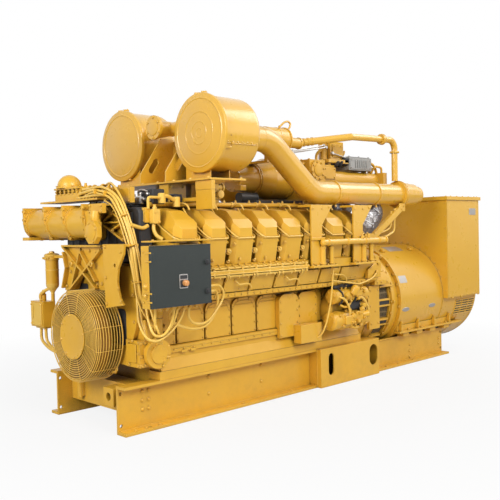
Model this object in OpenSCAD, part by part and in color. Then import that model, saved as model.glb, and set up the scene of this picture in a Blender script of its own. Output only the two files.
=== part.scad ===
// Gas engine generator set on a steel skid.
// Origin: on the floor, under the middle of the skid, on the crank line.
// +X runs from the front of the engine to the generator, +Z is up.

/* [Skid] */
// Length of the skid rails
skid_len = 3710; // [3600:10:3900]
// Height of the front part of the rails
rail_h = 300; // [280:5:320]
// Height of the rear part of the rails, under the generator
rear_rail_h = 250; // [230:5:260]
// Half distance between the outer faces of the rail webs
rail_half = 370; // [360:1:380]
// Width of a rail flange beyond the web
flange_w = 80; // [60:1:90]
// Outer face of the slotted side boxes from the crank line
side_box_half = 490; // [470:1:510]

/* [Engine] */
// Height of the crankshaft above the floor
crank_z = 580; // [570:1:590]
// Number of cylinders in each bank
bank_count = 8; // [8:1:8]
// Distance between neighbouring cylinders
pitch = 242; // [238:1:244]
// Radius of the crankshaft damper
damper_r = 274; // [265:1:278]
// Radius of the wire guard round the damper
guard_r = 295; // [285:1:300]

/* [Control panel] */
// Width of the control panel
panel_w = 452; // [440:1:470]
// Height of the control panel
panel_h = 363; // [360:1:400]
// Depth of the control panel's box
panel_d = 74; // [70:1:90]

/* [Air cleaners] */
// Radius of an air cleaner drum
drum_r = 250; // [240:1:255]
// Length of an air cleaner drum
drum_len = 345; // [330:1:380]
// Height of the drums' centre lines
drum_z = 1880; // [1860:1:1900]
// Distance of a drum's centre line from the crank line
drum_y = 450; // [440:1:460]

/* [Generator] */
// Radius of the generator's barrel
barrel_r = 480; // [470:1:482]
// Length of the generator's barrel
barrel_len = 690; // [650:1:691]
// Radius of the rear end bell
bell_r = 482; // [475:1:484]

/* [Hidden] */
$fn = 64;

machine_yellow = "#e6b43c";
door_grey = "#465050";
web_t = 15;
flange_t = 18;
plate_t = 12;
running_gap = 0.5;

// stations along the skid, from its front end
side_box_x = 1770;
side_box_len = 752;
block_x = 250;
block_len = 2080;
first_bore_x = 392;
panel_x = 0;
panel_y = -655;
panel_z = 794;
damper_x = -64;
guard_x = -80;
drum_x = 635;
barrel_x = 2868;
box_x = 3560;

// ---- helpers ----

module from_front() {
    translate([-skid_len / 2, 0, 0]) children();
}

module both_sides() {
    children();
    mirror([0, 1, 0]) children();
}

// outline in Y and Z, drawn out along X
module along_x(x, len, points) {
    translate([x, 0, 0]) rotate([90, 0, 90]) linear_extrude(len) polygon(points);
}

// outline in X and Z, drawn out along Y from y to y + len
module along_y(y, len, points) {
    translate([0, y + len, 0]) rotate([90, 0, 0]) linear_extrude(len) polygon(points);
}

// box from its low corner and its size
module block(low, size) {
    translate(low) cube(size);
}

module rod_x(x, y, z, r, len) {
    translate([x, y, z]) rotate([0, 90, 0]) cylinder(r = r, h = len);
}

module rod_y(x, y, z, r, len) {
    translate([x, y, z]) rotate([-90, 0, 0]) cylinder(r = r, h = len);
}

module rod_z(x, y, z, r, len) {
    translate([x, y, z]) cylinder(r = r, h = len);
}

// pipe in an upright plane along X: true bends, with the straight lengths
// let into them and turned down a little
function unit(v) = v / norm(v);
function turn_of(a, b) = a[0] * b[1] - a[1] * b[0];
function corner_cut(p, i, bend) =
    (i == 0 || i == len(p) - 1) ? 0 :
    let (a = unit(p[i] - p[i - 1]), b = unit(p[i + 1] - p[i]))
    bend * tan(acos(a * b) / 2);
spigot = 6;

module pipe_xz(y, p, r, bend) {
    translate([0, y, 0]) rotate([90, 0, 0]) {
        for (i = [0 : len(p) - 2]) {
            d = unit(p[i + 1] - p[i]);
            first = i == 0 ? 0 : spigot;
            last = i == len(p) - 2 ? 0 : spigot;
            a = p[i] + d * (corner_cut(p, i, bend) - first);
            b = p[i + 1] - d * (corner_cut(p, i + 1, bend) - last);
            translate([a[0], a[1], 0]) rotate([0, 0, atan2(d[1], d[0])])
                rotate([0, 90, 0]) cylinder(r = r - 1, h = norm(b - a));
        }
        for (i = [1 : 1 : len(p) - 2]) {
            d1 = unit(p[i] - p[i - 1]);
            d2 = unit(p[i + 1] - p[i]);
            side = sign(turn_of(d1, d2));
            start = p[i] - d1 * corner_cut(p, i, bend);
            end = p[i] + d2 * corner_cut(p, i, bend);
            c = start + side * bend * [-d1[1], d1[0]];
            from = side > 0 ? start : end;
            translate([c[0], c[1], 0]) rotate([0, 0, atan2(from[1] - c[1], from[0] - c[0])])
                rotate_extrude(angle = acos(d1 * d2)) translate([bend, 0]) circle(r);
        }
    }
}

// puts children at each cylinder of both banks
module each_cylinder() {
    both_sides() for (n = [0 : bank_count - 1])
        translate([first_bore_x + n * pitch, 0, 0]) children();
}

// ---- skid ----

end_hole_r = 11;
anchor_r = 13;
anchor_dx = 3300;
anchor_y = 415;

module rail() {
    web_y = -rail_half;
    front_len = side_box_x + side_box_len;
    difference() {
        union() {
            block([0, web_y, 0], [front_len, web_t, rail_h]);
            block([front_len, web_y, 0], [skid_len - front_len, web_t, rear_rail_h]);
            block([0, web_y - flange_w, 0], [skid_len, flange_w, flange_t]);
            block([0, web_y - flange_w, rail_h - flange_t], [front_len, flange_w, flange_t]);
            block([front_len, web_y - 12, rear_rail_h - 10], [skid_len - front_len, 12, 10]);
        }
        for (h = [[22, 50], [22, 250], [skid_len - 22, 50], [skid_len - 22, 205]])
            rod_y(h[0], web_y - 1, h[1], end_hole_r, web_t + 2);
        for (s = [-1, 1])
            rod_z(skid_len / 2 + s * anchor_dx / 2, -anchor_y, -1, anchor_r, flange_t + 2);
    }
}

module skid_rails() color(machine_yellow) from_front() both_sides() rail();

slot_widths = [66, 112];
slot_h = 172;
slot_z = 170;
slot_stations = [125, 676];

// hole with round ends, upright and centred
module long_hole(w, h, depth) {
    r = w / 2;
    for (z = [-1, 1]) rod_y(0, -depth / 2, z * (h / 2 - r), r, depth);
    block([-r, -depth / 2, r - h / 2], [w, depth, h - 2 * r]);
}

module side_boxes() color(machine_yellow) from_front() both_sides() {
    depth = side_box_half - rail_half - flange_w;
    difference() {
        block([side_box_x, -side_box_half, 0], [side_box_len, depth, rail_h]);
        block([side_box_x + plate_t, plate_t - side_box_half, flange_t],
            [side_box_len - 2 * plate_t, depth, rail_h - 2 * flange_t]);
        for (k = [0, 1])
            translate([side_box_x + slot_stations[k], -side_box_half, slot_z])
                long_hole(slot_widths[k], slot_h, 3 * plate_t);
    }
    for (x = [side_box_x, side_box_x + side_box_len - plate_t])
        block([x, -rail_half - flange_w, flange_t], [plate_t, flange_w, rail_h - 2 * flange_t]);
}

inner_half = rail_half - web_t;
front_member_x = 110;
beam_h = 185;
beam_w = 120;
lug_size = 112;
lug_r = 26;
lug_y = -238;
lug_z = 213;
lug_len = 90;

// channel between the webs, with the lifting lug welded to its front face
module front_cross_member() color(machine_yellow) from_front() {
    x = front_member_x;
    block([x, -inner_half, 100], [plate_t, 2 * inner_half, beam_h]);
    for (z = [100, 100 + beam_h - plate_t])
        block([x + plate_t, -inner_half, z], [beam_w, 2 * inner_half, plate_t]);
    difference() {
        block([x - lug_len, lug_y - lug_size / 2, lug_z - lug_size / 2],
            [lug_len, lug_size, lug_size]);
        rod_x(x - lug_len - 1, lug_y, lug_z, lug_r, lug_len + 1);
    }
    block([x - 22, 184, 140], [23, 44, 128]);
    rod_z(x - 24, 206, 130, 20, 145);
}

// box beams between the webs, standing on the floor
cross_stations = [1100, 1855, 2560, 3500];
module cross_members() color(machine_yellow) from_front() {
    for (x = cross_stations) {
        high = x > barrel_x ? 90 : 140;
        difference() {
            block([x - beam_w / 2, -inner_half, 0], [beam_w, 2 * inner_half, high]);
            block([x - beam_w / 2 + plate_t, -inner_half - 1, plate_t],
                [beam_w - 2 * plate_t, 2 * inner_half + 2, high - 2 * plate_t]);
        }
    }
}

// ---- engine block ----

foot_h = 54;
pan_top = 486;
block_half = 402;

// long mounting rails under the engine's sides
module engine_feet() color(machine_yellow) from_front() both_sides()
    block([270, -446, rail_h], [2060, 120, foot_h]);

module oil_pan() color(machine_yellow) from_front() {
    top = pan_top - 1;
    low = rail_h + foot_h + 1;
    side = [[-436, top], [-436, 462], [-416, 456], [-416, 425], [-442, low], [-318, low],
        [-300, 190]];
    along_x(285, 2030, concat(side, far(side)));
}

// half outline of the block in Y and Z, mirrored for the far side
block_side = [[-436, pan_top], [-436, 505], [-block_half, 512], [-block_half, 762],
    [-545, 788], [-545, 816], [-530, 822], [-578, 940], [-600, 940], [-600, 1000],
    [-330, 1105], [-180, 1040]];
function far(p) = [for (i = [len(p) - 1 : -1 : 0]) [-p[i][0], p[i][1]]];

module crankcase() color(machine_yellow) from_front() {
    along_x(block_x, block_len, concat(block_side, far(block_side)));
}

door_w = 226;
door_h = 248;
door_top_r = 65;
door_z = 513;

// plate with two rounded top corners, lying in X and Y of its own plane
module arched(w, h, r) {
    translate([-w / 2, 0]) square([w, h - r]);
    translate([r - w / 2, 0]) square([w - 2 * r, h]);
    for (s = [-1, 1]) translate([s * (w / 2 - r), h - r]) circle(r);
}

// a narrow door in front, then one for each bay between the main bearings
first_bay_x = 547;
bay_count = 7;
module crankcase_doors() color(machine_yellow) from_front() both_sides() {
    translate([0, -block_half - 1, door_z]) rotate([90, 0, 0]) linear_extrude(16) {
        translate([342, 0]) arched(150, door_h, door_top_r);
        for (n = [0 : bay_count - 1]) translate([first_bay_x + n * pitch, 0])
            arched(door_w, door_h, door_top_r);
    }
}

// leaning plates over the camshaft
module cam_covers() color(machine_yellow) from_front() each_cylinder()
    along_x(-155, 220, [[-534, 828], [-576, 932], [-588, 928], [-546, 824]]);

// outline of a head in Y and Z, and half of its plan along the leaning outer face
head_side = [[-618, 1186], [-582, 1008], [-335, 1112], [-215, 1200], [-245, 1383]];
head_half = 104;
head_near = 74;
cover_half = 98;
cover_near = 56;

// keeps the middle of the children and cuts their outer corners away
module cut_corners(half, near, y_out, y_in, lean) {
    intersection() {
        children();
        translate([0, y_out, 1190]) rotate([lean, 0, 0]) translate([0, 0, -400])
            linear_extrude(900) polygon([[-near, 0], [near, 0], [half, half - near],
                [half, y_in], [-half, y_in], [-half, half - near]]);
    }
}

module cylinder_heads() color(machine_yellow) from_front() each_cylinder()
    cut_corners(head_half, head_near, -618, 440, 11)
        along_x(-head_half, 2 * head_half, head_side);

// lid with a leaning base, an upright outer face and sloping shoulders
module valve_covers() color(machine_yellow) from_front() each_cylinder()
    cut_corners(cover_half, cover_near, -622, 382, 0) intersection() {
        along_x(-cover_half, 2 * cover_half, [[-620, 1188], [-622, 1250], [-570, 1310],
            [-490, 1366], [-330, 1392], [-262, 1392], [-248, 1386]]);
        along_y(-640, 400, [[-cover_half, 1180], [-cover_half, 1255], [-50, 1376],
            [-28, 1393], [28, 1393], [50, 1376], [cover_half, 1255], [cover_half, 1180]]);
    }

module water_rails() color(machine_yellow) from_front() both_sides() {
    rod_x(block_x + 40, -616, 962, 15, 1210);
    rod_x(block_x + 40, -350, 1412, 16, block_len - 60);
}

module valley_cover() color(machine_yellow) from_front() {
    along_x(block_x + 20, block_len - 40, [[-178, 1042], [-205, 1180], [-236, 1380],
        [-236, 1400], [236, 1400], [236, 1380], [205, 1180], [178, 1042]]);
}

// ---- front of the engine ----

case_front = 130;
shaft_r = 60;

module gear_case() color(machine_yellow) from_front() {
    difference() {
        union() {
            along_x(case_front, block_x - case_front - 1, [[-395, 640], [-430, 760],
                [-430, 1040], [430, 1040], [430, 760], [395, 640], [290, 400],
                [-290, 400]]);
            rod_x(case_front - 40, 0, crank_z, 110, 60);
        }
        rod_x(case_front - 41, 0, crank_z, shaft_r, 142);
    }
    // flat covers bolted on its face
    block([case_front - 14, -405, 838], [13, 160, 190]);
}

// flat bars between pairs of points in Y and Z: [a, b, width]
module lattice(x, t, bars) {
    translate([x, 0, 0]) rotate([90, 0, 90]) linear_extrude(t) for (b = bars) {
        d = b[1] - b[0];
        translate(b[0]) rotate(atan2(d[1], d[0])) translate([0, -b[2] / 2])
            square([norm(d), b[2]]);
    }
}

// upright casting with crossed ribs on its front
support_top = 1160;
support_outline = [[-152, support_top], [-150, 870], [-90, 870], [-60, 930], [40, 975],
    [110, 985], [170, 950], [225, 860], [350, 850], [333, 901], [287, 1005], [320, 1113],
    [332, support_top]];
module cooler_support() color(machine_yellow) from_front() {
    difference() {
        along_x(74, 36, support_outline);
        for (h = [[128, 1130], [-61, 1106]]) rod_x(73, h[0], h[1], 12, 38);
    }
    block([108, -150, 1090], [141, 480, 60]);
    lattice(42, 34, [[[322, 1148], [-82, 880], 13], [[-145, 1130], [240, 862], 13],
        [[99, 1120], [-78, 925], 11], [[99, 1120], [215, 885], 11],
        [[320, 1113], [287, 1005], 11], [[287, 1005], [340, 868], 11],
        [[332, support_top - 6], [-152, support_top - 6], 12]]);
}

// curved plate beside the gear case, with a raised edge
module support_plate() color(machine_yellow) from_front() {
    difference() {
        along_x(5, 16, [[-244, 1167], [-262, 772], [-452, 800], [-417, 841], [-391, 938],
            [-407, 1021], [-466, 1105], [-475, 1167]]);
        rod_x(4, -371, 1038, 12, 20);
    }
    block([21, -262, 780], [90, 16, 380]);
    block([21, -470, 1151], [95, 215, 16]);
}

pump_z = 478;
module water_pump() color(machine_yellow) from_front() difference() {
    union() {
        block([120, -443, 400], [140, 143, 168]);
        rod_y(240, -482, pump_z, 92, 84);
        rod_y(240, -492, pump_z, 60, 12);
        block([160, -440, 567], [90, 120, 120]);
        rod_z(262, -440, 560, 34, 130);
    }
    // seat on the gear case and the block
    along_x(case_front - 1, 122, [[-291, 399], [-396, 640], [-431, 760], [-431, 800],
        [0, 800], [0, 399]]);
    block([block_x - 1, -437, 300], [200, 400, 500]);
}

wire = 8;
hub_r = 147;
guard_depth = 184;
spoke_count = 12;

// flat hoop round the crank line
module hoop(x, r) {
    translate([x, 0, crank_z]) rotate([0, 90, 0]) rotate_extrude()
        translate([r - wire / 2, -wire / 2]) square(wire);
}

// frame of the guard: hub disc, hoops and bent spokes
module damper_guard() color(machine_yellow) from_front() {
    bar = wire - 3;
    rod_x(guard_x - 3, 0, crank_z, hub_r, 6);
    for (x = [guard_x, guard_x + guard_depth]) hoop(x, guard_r);
    for (i = [0 : spoke_count - 1]) translate([guard_x, 0, crank_z])
        rotate([360 / spoke_count * (i + 0.5), 0, 0]) {
            translate([-bar / 2, -bar / 2, hub_r - 12]) cube([bar, bar, guard_r - hub_r + 12]);
            translate([0, -bar / 2, guard_r - bar / 2]) cube([guard_depth, bar, bar]);
        }
}

module crank_damper() color(machine_yellow) from_front() {
    rod_x(damper_x, 0, crank_z, damper_r, 95);
    rod_x(damper_x + 90, 0, crank_z, 90, 40);
    rod_x(damper_x + 120, 0, crank_z, shaft_r - running_gap, 129);
}

// ---- charge cooling and coolant at the front ----

manifold_z = 1308;
manifold_r = 104;
manifold_x = 100;
flange_back = 215;

// flanged pipe along Y and the octagonal cover on its arm
module front_manifold() color(machine_yellow) from_front() {
    rod_y(manifold_x, -60, manifold_z, manifold_r, 808);
    for (y = [-57, 190, 441, 735]) {
        along_y(y, 15, [[-20, 1424], [-20, 1310], [38, 1192], [flange_back, 1192],
            [flange_back, 1424]]);
        rod_y(manifold_x, y - 12, manifold_z, manifold_r + 7, 39);
    }
    block([-18, 664, 1193], [flange_back + 18, 100, 22]);
    block([-2, -262, 1360], [30, 150, 61]);
    block([0, -200, 1300], [26, 70, 61]);
    block([0, -130, 1250], [60, 80, 130]);
    block([-20, -235, 1215], [28, 90, 90]);
    translate([-52, -206, 1241]) rotate([0, 90, 0]) rotate([0, 0, 22.5])
        cylinder(r = 76, h = 34, $fn = 8);
}

// cast bracket with crossed ribs between the manifold and the block
module truss_bracket() color(machine_yellow) from_front() {
    truss = [[-85, 1301], [-127, 1420], [-319, 1420], [-372, 1190], [-338, 1174]];
    along_x(122, 12, truss);
    lattice(88, 35, [[[-92, 1301], [-130, 1412], 12], [[-127, 1414], [-321, 1414], 12],
        [[-314, 1418], [-362, 1196], 12], [[-88, 1306], [-345, 1186], 13],
        [[-110, 1302], [-338, 1302], 10], [[-140, 1408], [-330, 1310], 10],
        [[-312, 1410], [-120, 1308], 10], [[-335, 1298], [-210, 1250], 10]]);
}

module thermostat_housing() color(machine_yellow) from_front() {
    block([60, -110, 1450], [190, 745, 12]);
    block([84, 128, 1461], [190, 315, 86]);
    block([150, -190, 1461], [80, 319, 52]);
    rod_z(125, 338, 1546, 90, 12);
    translate([125, 338, 1557]) intersection() {
        sphere(82);
        translate([0, 0, 50]) cube([200, 200, 102], center = true);
    }
    block([72, 128, 1461], [13, 315, 46]);
    block([64, 128, 1536], [21, 315, 11]);
    for (y = [150 : 52 : 420]) block([67, y, 1500], [18, 12, 40]);
    rod_x(259, 292, 1500, 38, 220);
}

module filter_canister() color(machine_yellow) from_front() {
    rod_z(120, 605, 882, 46, 170);
    rod_z(120, 605, 1051, 51, 38);
    rod_z(120, 605, 755, 13, 128);
    block([110, 346, 1066], [26, 210, 20]);
}

module sender_box() color(machine_yellow) from_front() {
    block([60, 645, 568], [98, 180, 184]);
    rod_z(115, 735, 751, 20, 50);
    block([150, 420, 620], [26, 230, 60]);
}

module junction_box() color(machine_yellow) from_front() {
    block([150, -346, 1422], [34, 150, 98]);
    block([185, -447, 1295], [40, 150, 94]);
}

// ---- control panel ----

panel_front = panel_y - panel_d;
panel_wall = 3;
door_t = 16;
door_gap = 2;
knob_dx = 242;
knob_dz = 137;
knuckle_r = 5;
knuckle_len = 40;
lug_t = 8;
pin_r = 3;
hinge_x = panel_x - 4;
hinge_y = panel_front - door_gap - door_t - 3;
hinge_heights = [45, 278];

module panel_box() color(machine_yellow) from_front() {
    difference() {
        block([panel_x, panel_front, panel_z], [panel_w, panel_d, panel_h]);
        block([panel_x + panel_wall, panel_front - 1, panel_z + panel_wall],
            [panel_w - 2 * panel_wall, panel_d - panel_wall + 1, panel_h - 2 * panel_wall]);
    }
    // hinge pins on lugs at the box's left edge
    for (h = hinge_heights) {
        rod_z(hinge_x, hinge_y, panel_z + h - lug_t - 1, pin_r, knuckle_len + 2 * lug_t + 2);
        for (z = [h - lug_t - 1, h + knuckle_len + 1]) {
            rod_z(hinge_x, hinge_y, panel_z + z, knuckle_r, lug_t);
            block([hinge_x - knuckle_r, hinge_y, panel_z + z], [2 * knuckle_r, 50, lug_t]);
        }
    }
}

// shelf over the panel and the straps that hold it to the engine
module panel_bracket() color(machine_yellow) from_front() {
    block([panel_x + 18, panel_y - 70, panel_z + panel_h + 20], [panel_w + 34, 90, 9]);
    for (x = [70, 380]) block([panel_x + x, panel_y + 1, panel_z + 30], [44, 16, panel_h - 26]);
    for (x = [300, 400]) block([panel_x + x, panel_y + 17, 1004], [40, 46, 34]);
}

module panel_door() color(door_grey) from_front() {
    front = panel_front - door_gap - door_t;
    difference() {
        union() {
            block([panel_x + 2, front, panel_z + 1], [panel_w - 3, door_t, panel_h - 2]);
            for (h = hinge_heights) {
                rod_z(hinge_x, hinge_y, panel_z + h, knuckle_r, knuckle_len);
                block([hinge_x, front - 4, panel_z + h], [26, 5, knuckle_len]);
            }
        }
        rod_y(panel_x + knob_dx, front - 1, panel_z + knob_dz, 6.5, door_t + 2);
        rod_z(hinge_x, hinge_y, panel_z, pin_r + 0.3, panel_h);
    }
    // latches
    for (z = [74, 256]) rod_y(panel_x + panel_w - 40, front - 8, panel_z + z, 13, 9);
}

module panel_knob() color("#c87828") from_front() {
    front = panel_front - door_gap - door_t;
    rod_y(panel_x + knob_dx, front - 26, panel_z + knob_dz, 17, 25);
    rod_y(panel_x + knob_dx, front - 2, panel_z + knob_dz, 6.3, door_t + 8);
}

// ---- air intake ----

// drum with a flat front cover and a rounded back edge
module drum() {
    back = 50;
    rim = 8;
    translate([drum_x, drum_y, drum_z]) rotate([0, 90, 0]) rotate_extrude() {
        translate([0, 12]) square([drum_r, drum_len - back - 12]);
        translate([0, drum_len - back]) square([drum_r - back, back]);
        square([drum_r + rim, 26]);
        translate([drum_r - back, drum_len - back]) intersection() {
            circle(back);
            square(back);
        }
    }
}

module air_cleaners() color(machine_yellow) from_front() both_sides() drum();

platform_z = 1560;
platform_x = 540;
platform_len = 320;
bracket_top = 1905;

// shelf with two leaning plates that hold the drums
module cleaner_platform() color(machine_yellow) from_front() {
    block([platform_x, -650, platform_z], [platform_len, 1300, plate_t]);
    for (y = [-192, 100]) difference() {
        along_y(y, plate_t, [[platform_x + 8, platform_z + plate_t], [platform_x + 10, 1640],
            [740, bracket_top], [850, bracket_top], [850, platform_z + plate_t]]);
        translate([668, y + plate_t / 2, 1705]) rotate([0, 35, 0])
            long_hole(46, 120, 3 * plate_t);
    }
}

// thin upright plates under the platform's ends and a box post between
module platform_posts() color(machine_yellow) from_front() {
    high = platform_z - 1;
    for (y = [-648, 490]) {
        block([560, y, 1374], [28, 158, 125]);
        block([558, y, 1500], [32, 158, high - 1500]);
    }
    block([562, -490, 1430], [24, 254, 24]);
    block([562, 236, 1430], [24, 254, 24]);
    block([560, -202, 1401], [152, 100, high - 1401]);
    block([762, -202, 1401], [90, 404, high - 1401]);
}

flange_z = 1960;
module crossover_pipe() color(machine_yellow) from_front() {
    rod_x(580, -20, flange_z, 84, 22);
    rod_x(602, -20, flange_z, 52, 150);
    difference() {
        rod_y(740, -230, flange_z, 48, 460);
        both_sides() rod_x(640, -drum_y, drum_z, drum_r + 1, 200);
    }
}

pipe_r = 90;
pipe_y = -450;
pipe_z = 1512;
module intake_pipes() color(machine_yellow) from_front() both_sides() {
    pipe_xz(pipe_y, [[drum_x + drum_len + 1, drum_z], [1270, drum_z], [1732, pipe_z],
        [2895, pipe_z]], pipe_r, 260);
    for (x = [1985, 2520]) rod_x(x, pipe_y, pipe_z, pipe_r + 6, 14);
    rod_x(2870, pipe_y, pipe_z, pipe_r + 26, 40);
    rod_x(2905, pipe_y, pipe_z, pipe_r + 14, 96);
    rod_x(2996, pipe_y, pipe_z, pipe_r + 8, 96);
    rod_x(3090, pipe_y, pipe_z, 74, 92);
    rod_x(3180, pipe_y, pipe_z, 56, 18);
}

cone_z = 1625;
module inlet_cone() color(machine_yellow) from_front() {
    translate([1335, 0, cone_z]) rotate([0, 88, 0]) {
        cylinder(r1 = 84, r2 = 112, h = 196);
        translate([0, 0, 195]) cylinder(r = 124, h = 16);
        translate([0, 0, 210]) cylinder(r1 = 126, r2 = 163, h = 124);
        translate([0, 0, 333]) cylinder(r = 164, h = 223);
    }
}

// dark tray between the banks, under the cone
module valley_tray() color("#2a2a28") from_front() {
    block([1122, -225, 1401], [770, 450, 38]);
    block([1370, -225, 1438], [520, 450, 19]);
    rod_x(1345, -60, 1482, 40, 177);
}

module breather() color(machine_yellow) from_front() {
    rod_x(1400, -285, 1915, 90, 218);
    rod_x(1618, -285, 1915, 74, 22);
    rod_x(1639, -285, 1903, 41, 152);
    rod_x(1780, -285, 1903, 46, 14);
    block([1470, -250, 1760], [54, 30, 90]);
    block([1470, -250, 1745], [54, 250, 16]);
}

breather_pipe_r = 28;
module breather_pipe() color(machine_yellow) from_front() {
    top = 1984;
    pipe_xz(pipe_y, [[2240, 1970], [2852, top], [2852, pipe_z + pipe_r + 28]],
        breather_pipe_r, 75);
    rod_x(2650, pipe_y, top - 5, 45, 18);
    rod_z(2852, pipe_y, 1872, 37, 16);
    // slanted length from the breather
    a = [1805, -285, 1909];
    b = [2244, pipe_y, 1970];
    d = b - a;
    translate(a) rotate([0, 0, atan2(d[1], d[0])])
        rotate([0, 90 - atan2(d[2], norm([d[0], d[1]])), 0])
            cylinder(r = breather_pipe_r + 1, h = norm(d) + 4);
}

module mixer_housing() color(machine_yellow) from_front() {
    block([1900, -230, 1401], [190, 460, 190]);
    block([1900, -300, 1590], [190, 600, 196]);
    rod_y(1985, -318, 1700, 80, 19);
    for (x = [2105, 2190]) rod_z(x, -250, 1640, 24, 130);
    for (y = [-290, 210]) block([2089, y, 1620], [132, 80, 130]);
}

module actuator() color(machine_yellow) from_front() {
    block([2210, -260, 1802], [170, 130, 150]);
    rod_z(2190, -200, 1790, 34, 160);
    block([2150, -290, 1772], [260, 200, 29]);
}

module ignition_box() color("#8c8c82") from_front() {
    block([2420, -290, 1722], [310, 250, 108]);
}

// rear manifold behind the mixer, joining the two intake pipes
module rear_manifold() color(machine_yellow) from_front() {
    for (y = [-215, 215]) rod_x(2223, y, 1636, 76, 629);
    block([2840, -340, 1560], [50, 680, 150]);
}

// lagged pipes and casings behind the legs
module turbochargers() color("#a8a49a") from_front() both_sides() {
    for (x = [2196, 2330]) rod_x(x, -284, 1391, 46, 84);
    translate([2540, -330, 1222]) rotate([0, 39, 0]) {
        cylinder(r = 92, h = 190);
        sphere(91.5);
        translate([0, 0, 190]) sphere(91.5);
    }
}

leg_y = -638;
leg_low = 961;
leg_top = 1408;
module pipe_legs() color(machine_yellow) from_front() both_sides() {
    for (x = [1519, 2015]) {
        along_y(leg_y, 14, [[x, leg_low], [x, leg_top], [x + 245, leg_top],
            [x + 116, leg_top - 155], [x + 113, leg_low]]);
        block([x, leg_y + 13, leg_top - 16], [190, 120, 16]);
        rod_z(x + 116, leg_y - 4, leg_low, 22, 145);
        rod_z(x + 215, leg_y - 4, leg_low, 19, 145);
        block([x - 12, leg_y - 28, leg_low - 14], [300, 65, 15]);
    }
}

// level pipe in front of the legs
module coolant_pipe() color(machine_yellow) from_front() both_sides() {
    rod_x(1610, leg_y - 27, 1130, 23, 777);
}

// slanted stay from the last leg to the end of the intake pipe
module pipe_stay() color(machine_yellow) from_front() both_sides() {
    a = [2433, 1160];
    b = [2861, 1412];
    d = b - a;
    translate([a[0], -520, a[1]]) rotate([0, -atan2(d[1], d[0]), 0])
        translate([0, -16, -25]) cube([norm(d), 32, 50]);
    block([2290, -542, 1140], [180, 44, 42]);
}

// ---- rear of the engine ----

// starters on a round housing beside the flywheel
module starter_motor() color(machine_yellow) from_front() both_sides() {
    difference() {
        rod_y(2015, -500, 587, 165, 80);
        block([1800, -437, 400], [450, 30, 113]);
    }
    rod_x(1856, -545, 704, 58, 390);
    rod_x(1828, -550, 516, 70, 400);
    rod_x(2020, -545, 610, 34, 226);
    block([2210, -560, 460], [60, 110, 290]);
}

// two thick covers over the rear bays of the near side
module side_cover() color(machine_yellow) from_front() {
    difference() {
        union() {
            translate([1452, -420, 437]) rotate([90, 0, 0]) linear_extrude(42)
                arched(210, 318, 60);
            translate([1672, -420, 500]) rotate([90, 0, 0]) linear_extrude(32)
                arched(216, 255, 60);
        }
        block([1300, -437, 400], [500, 37, 113]);
    }
    block([1500, -535, 384], [232, 72, 136]);
}

bell_front = block_x + block_len + 1;
ring_x = 2581;
window_count = 16;

module flywheel_housing() color(machine_yellow) from_front() {
    along_x(bell_front, 120, [[-436, 492], [-402, 742], [-545, 800], [-560, 990], [-420, 1060],
        [-200, 1120], [200, 1120], [420, 1060], [560, 990], [545, 800], [402, 742],
        [436, 492], [300, 200], [-300, 200]]);
    rod_x(bell_front + 120, 0, crank_z, 440, ring_x - bell_front - 121);
    for (s = [-1, 1]) block([2435, s * 446 - 14, 375], [145, 28, 365]);
}

// ring with a row of windows round the coupling
module coupling_ring() color(machine_yellow) from_front() {
    difference() {
        rod_x(ring_x, 0, crank_z, 440, 190);
        for (i = [0 : window_count - 1]) translate([ring_x + 7, 0, crank_z])
            rotate([360 / window_count * (i + 0.5), 0, 0])
                translate([0, -51, 412]) cube([168, 102, 60]);
    }
    rod_x(ring_x + 190, 0, crank_z, 458, 24);
}

// ---- generator ----

module generator_frame() color(machine_yellow) from_front() {
    front = ring_x + 215;
    rod_x(front, 0, crank_z, 450, barrel_x - front);
    rod_x(barrel_x, 0, crank_z, barrel_r, barrel_len);
    rod_x(barrel_x, 0, crank_z, barrel_r + 4, 26);
}

// side skirts of the generator with their mounting flanges and gussets
foot_y = 464;
module generator_feet() color(machine_yellow) from_front() both_sides() difference() {
    union() {
        block([2872, -foot_y, rear_rail_h + 38], [1052, 200, 16]);
        block([2880, 34 - foot_y, rear_rail_h + 54], [900, 150, 120]);
        for (x = [2960, 3180, 3400, 3640]) block([x, -440, rear_rail_h + 1], [90, 80, 45]);
        for (x = [2900, 3170, 3440, 3700]) block([x, -foot_y, rear_rail_h + 54], [14, 60, 90]);
    }
    rod_x(2700, 0, crank_z, bell_r + 3, 1400);
}

module end_bell() color(machine_yellow) from_front() {
    back = 48;
    len = 656;
    translate([barrel_x + barrel_len + 1, 0, crank_z]) rotate([0, 90, 0]) rotate_extrude() {
        square([bell_r, len - back]);
        translate([0, len - back]) square([bell_r - back, back]);
        translate([bell_r - back, len - back]) intersection() {
            circle(back);
            square(back);
        }
    }
}

box_len = 597;
box_half = 536;
box_low = 548;
box_top = 1470;

// tall terminal box that sits over the end bell like a saddle
module terminal_box() color(machine_yellow) from_front() difference() {
    block([box_x, -box_half, box_low], [box_len, 2 * box_half, box_top - box_low]);
    rod_x(box_x - 1, 0, crank_z, bell_r + 1, box_len + 2);
}

module terminal_lid() color(machine_yellow) from_front() {
    block([box_x - 16, -box_half - 12, box_top + 1], [box_len + 36, 2 * box_half + 24, 33]);
}

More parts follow.
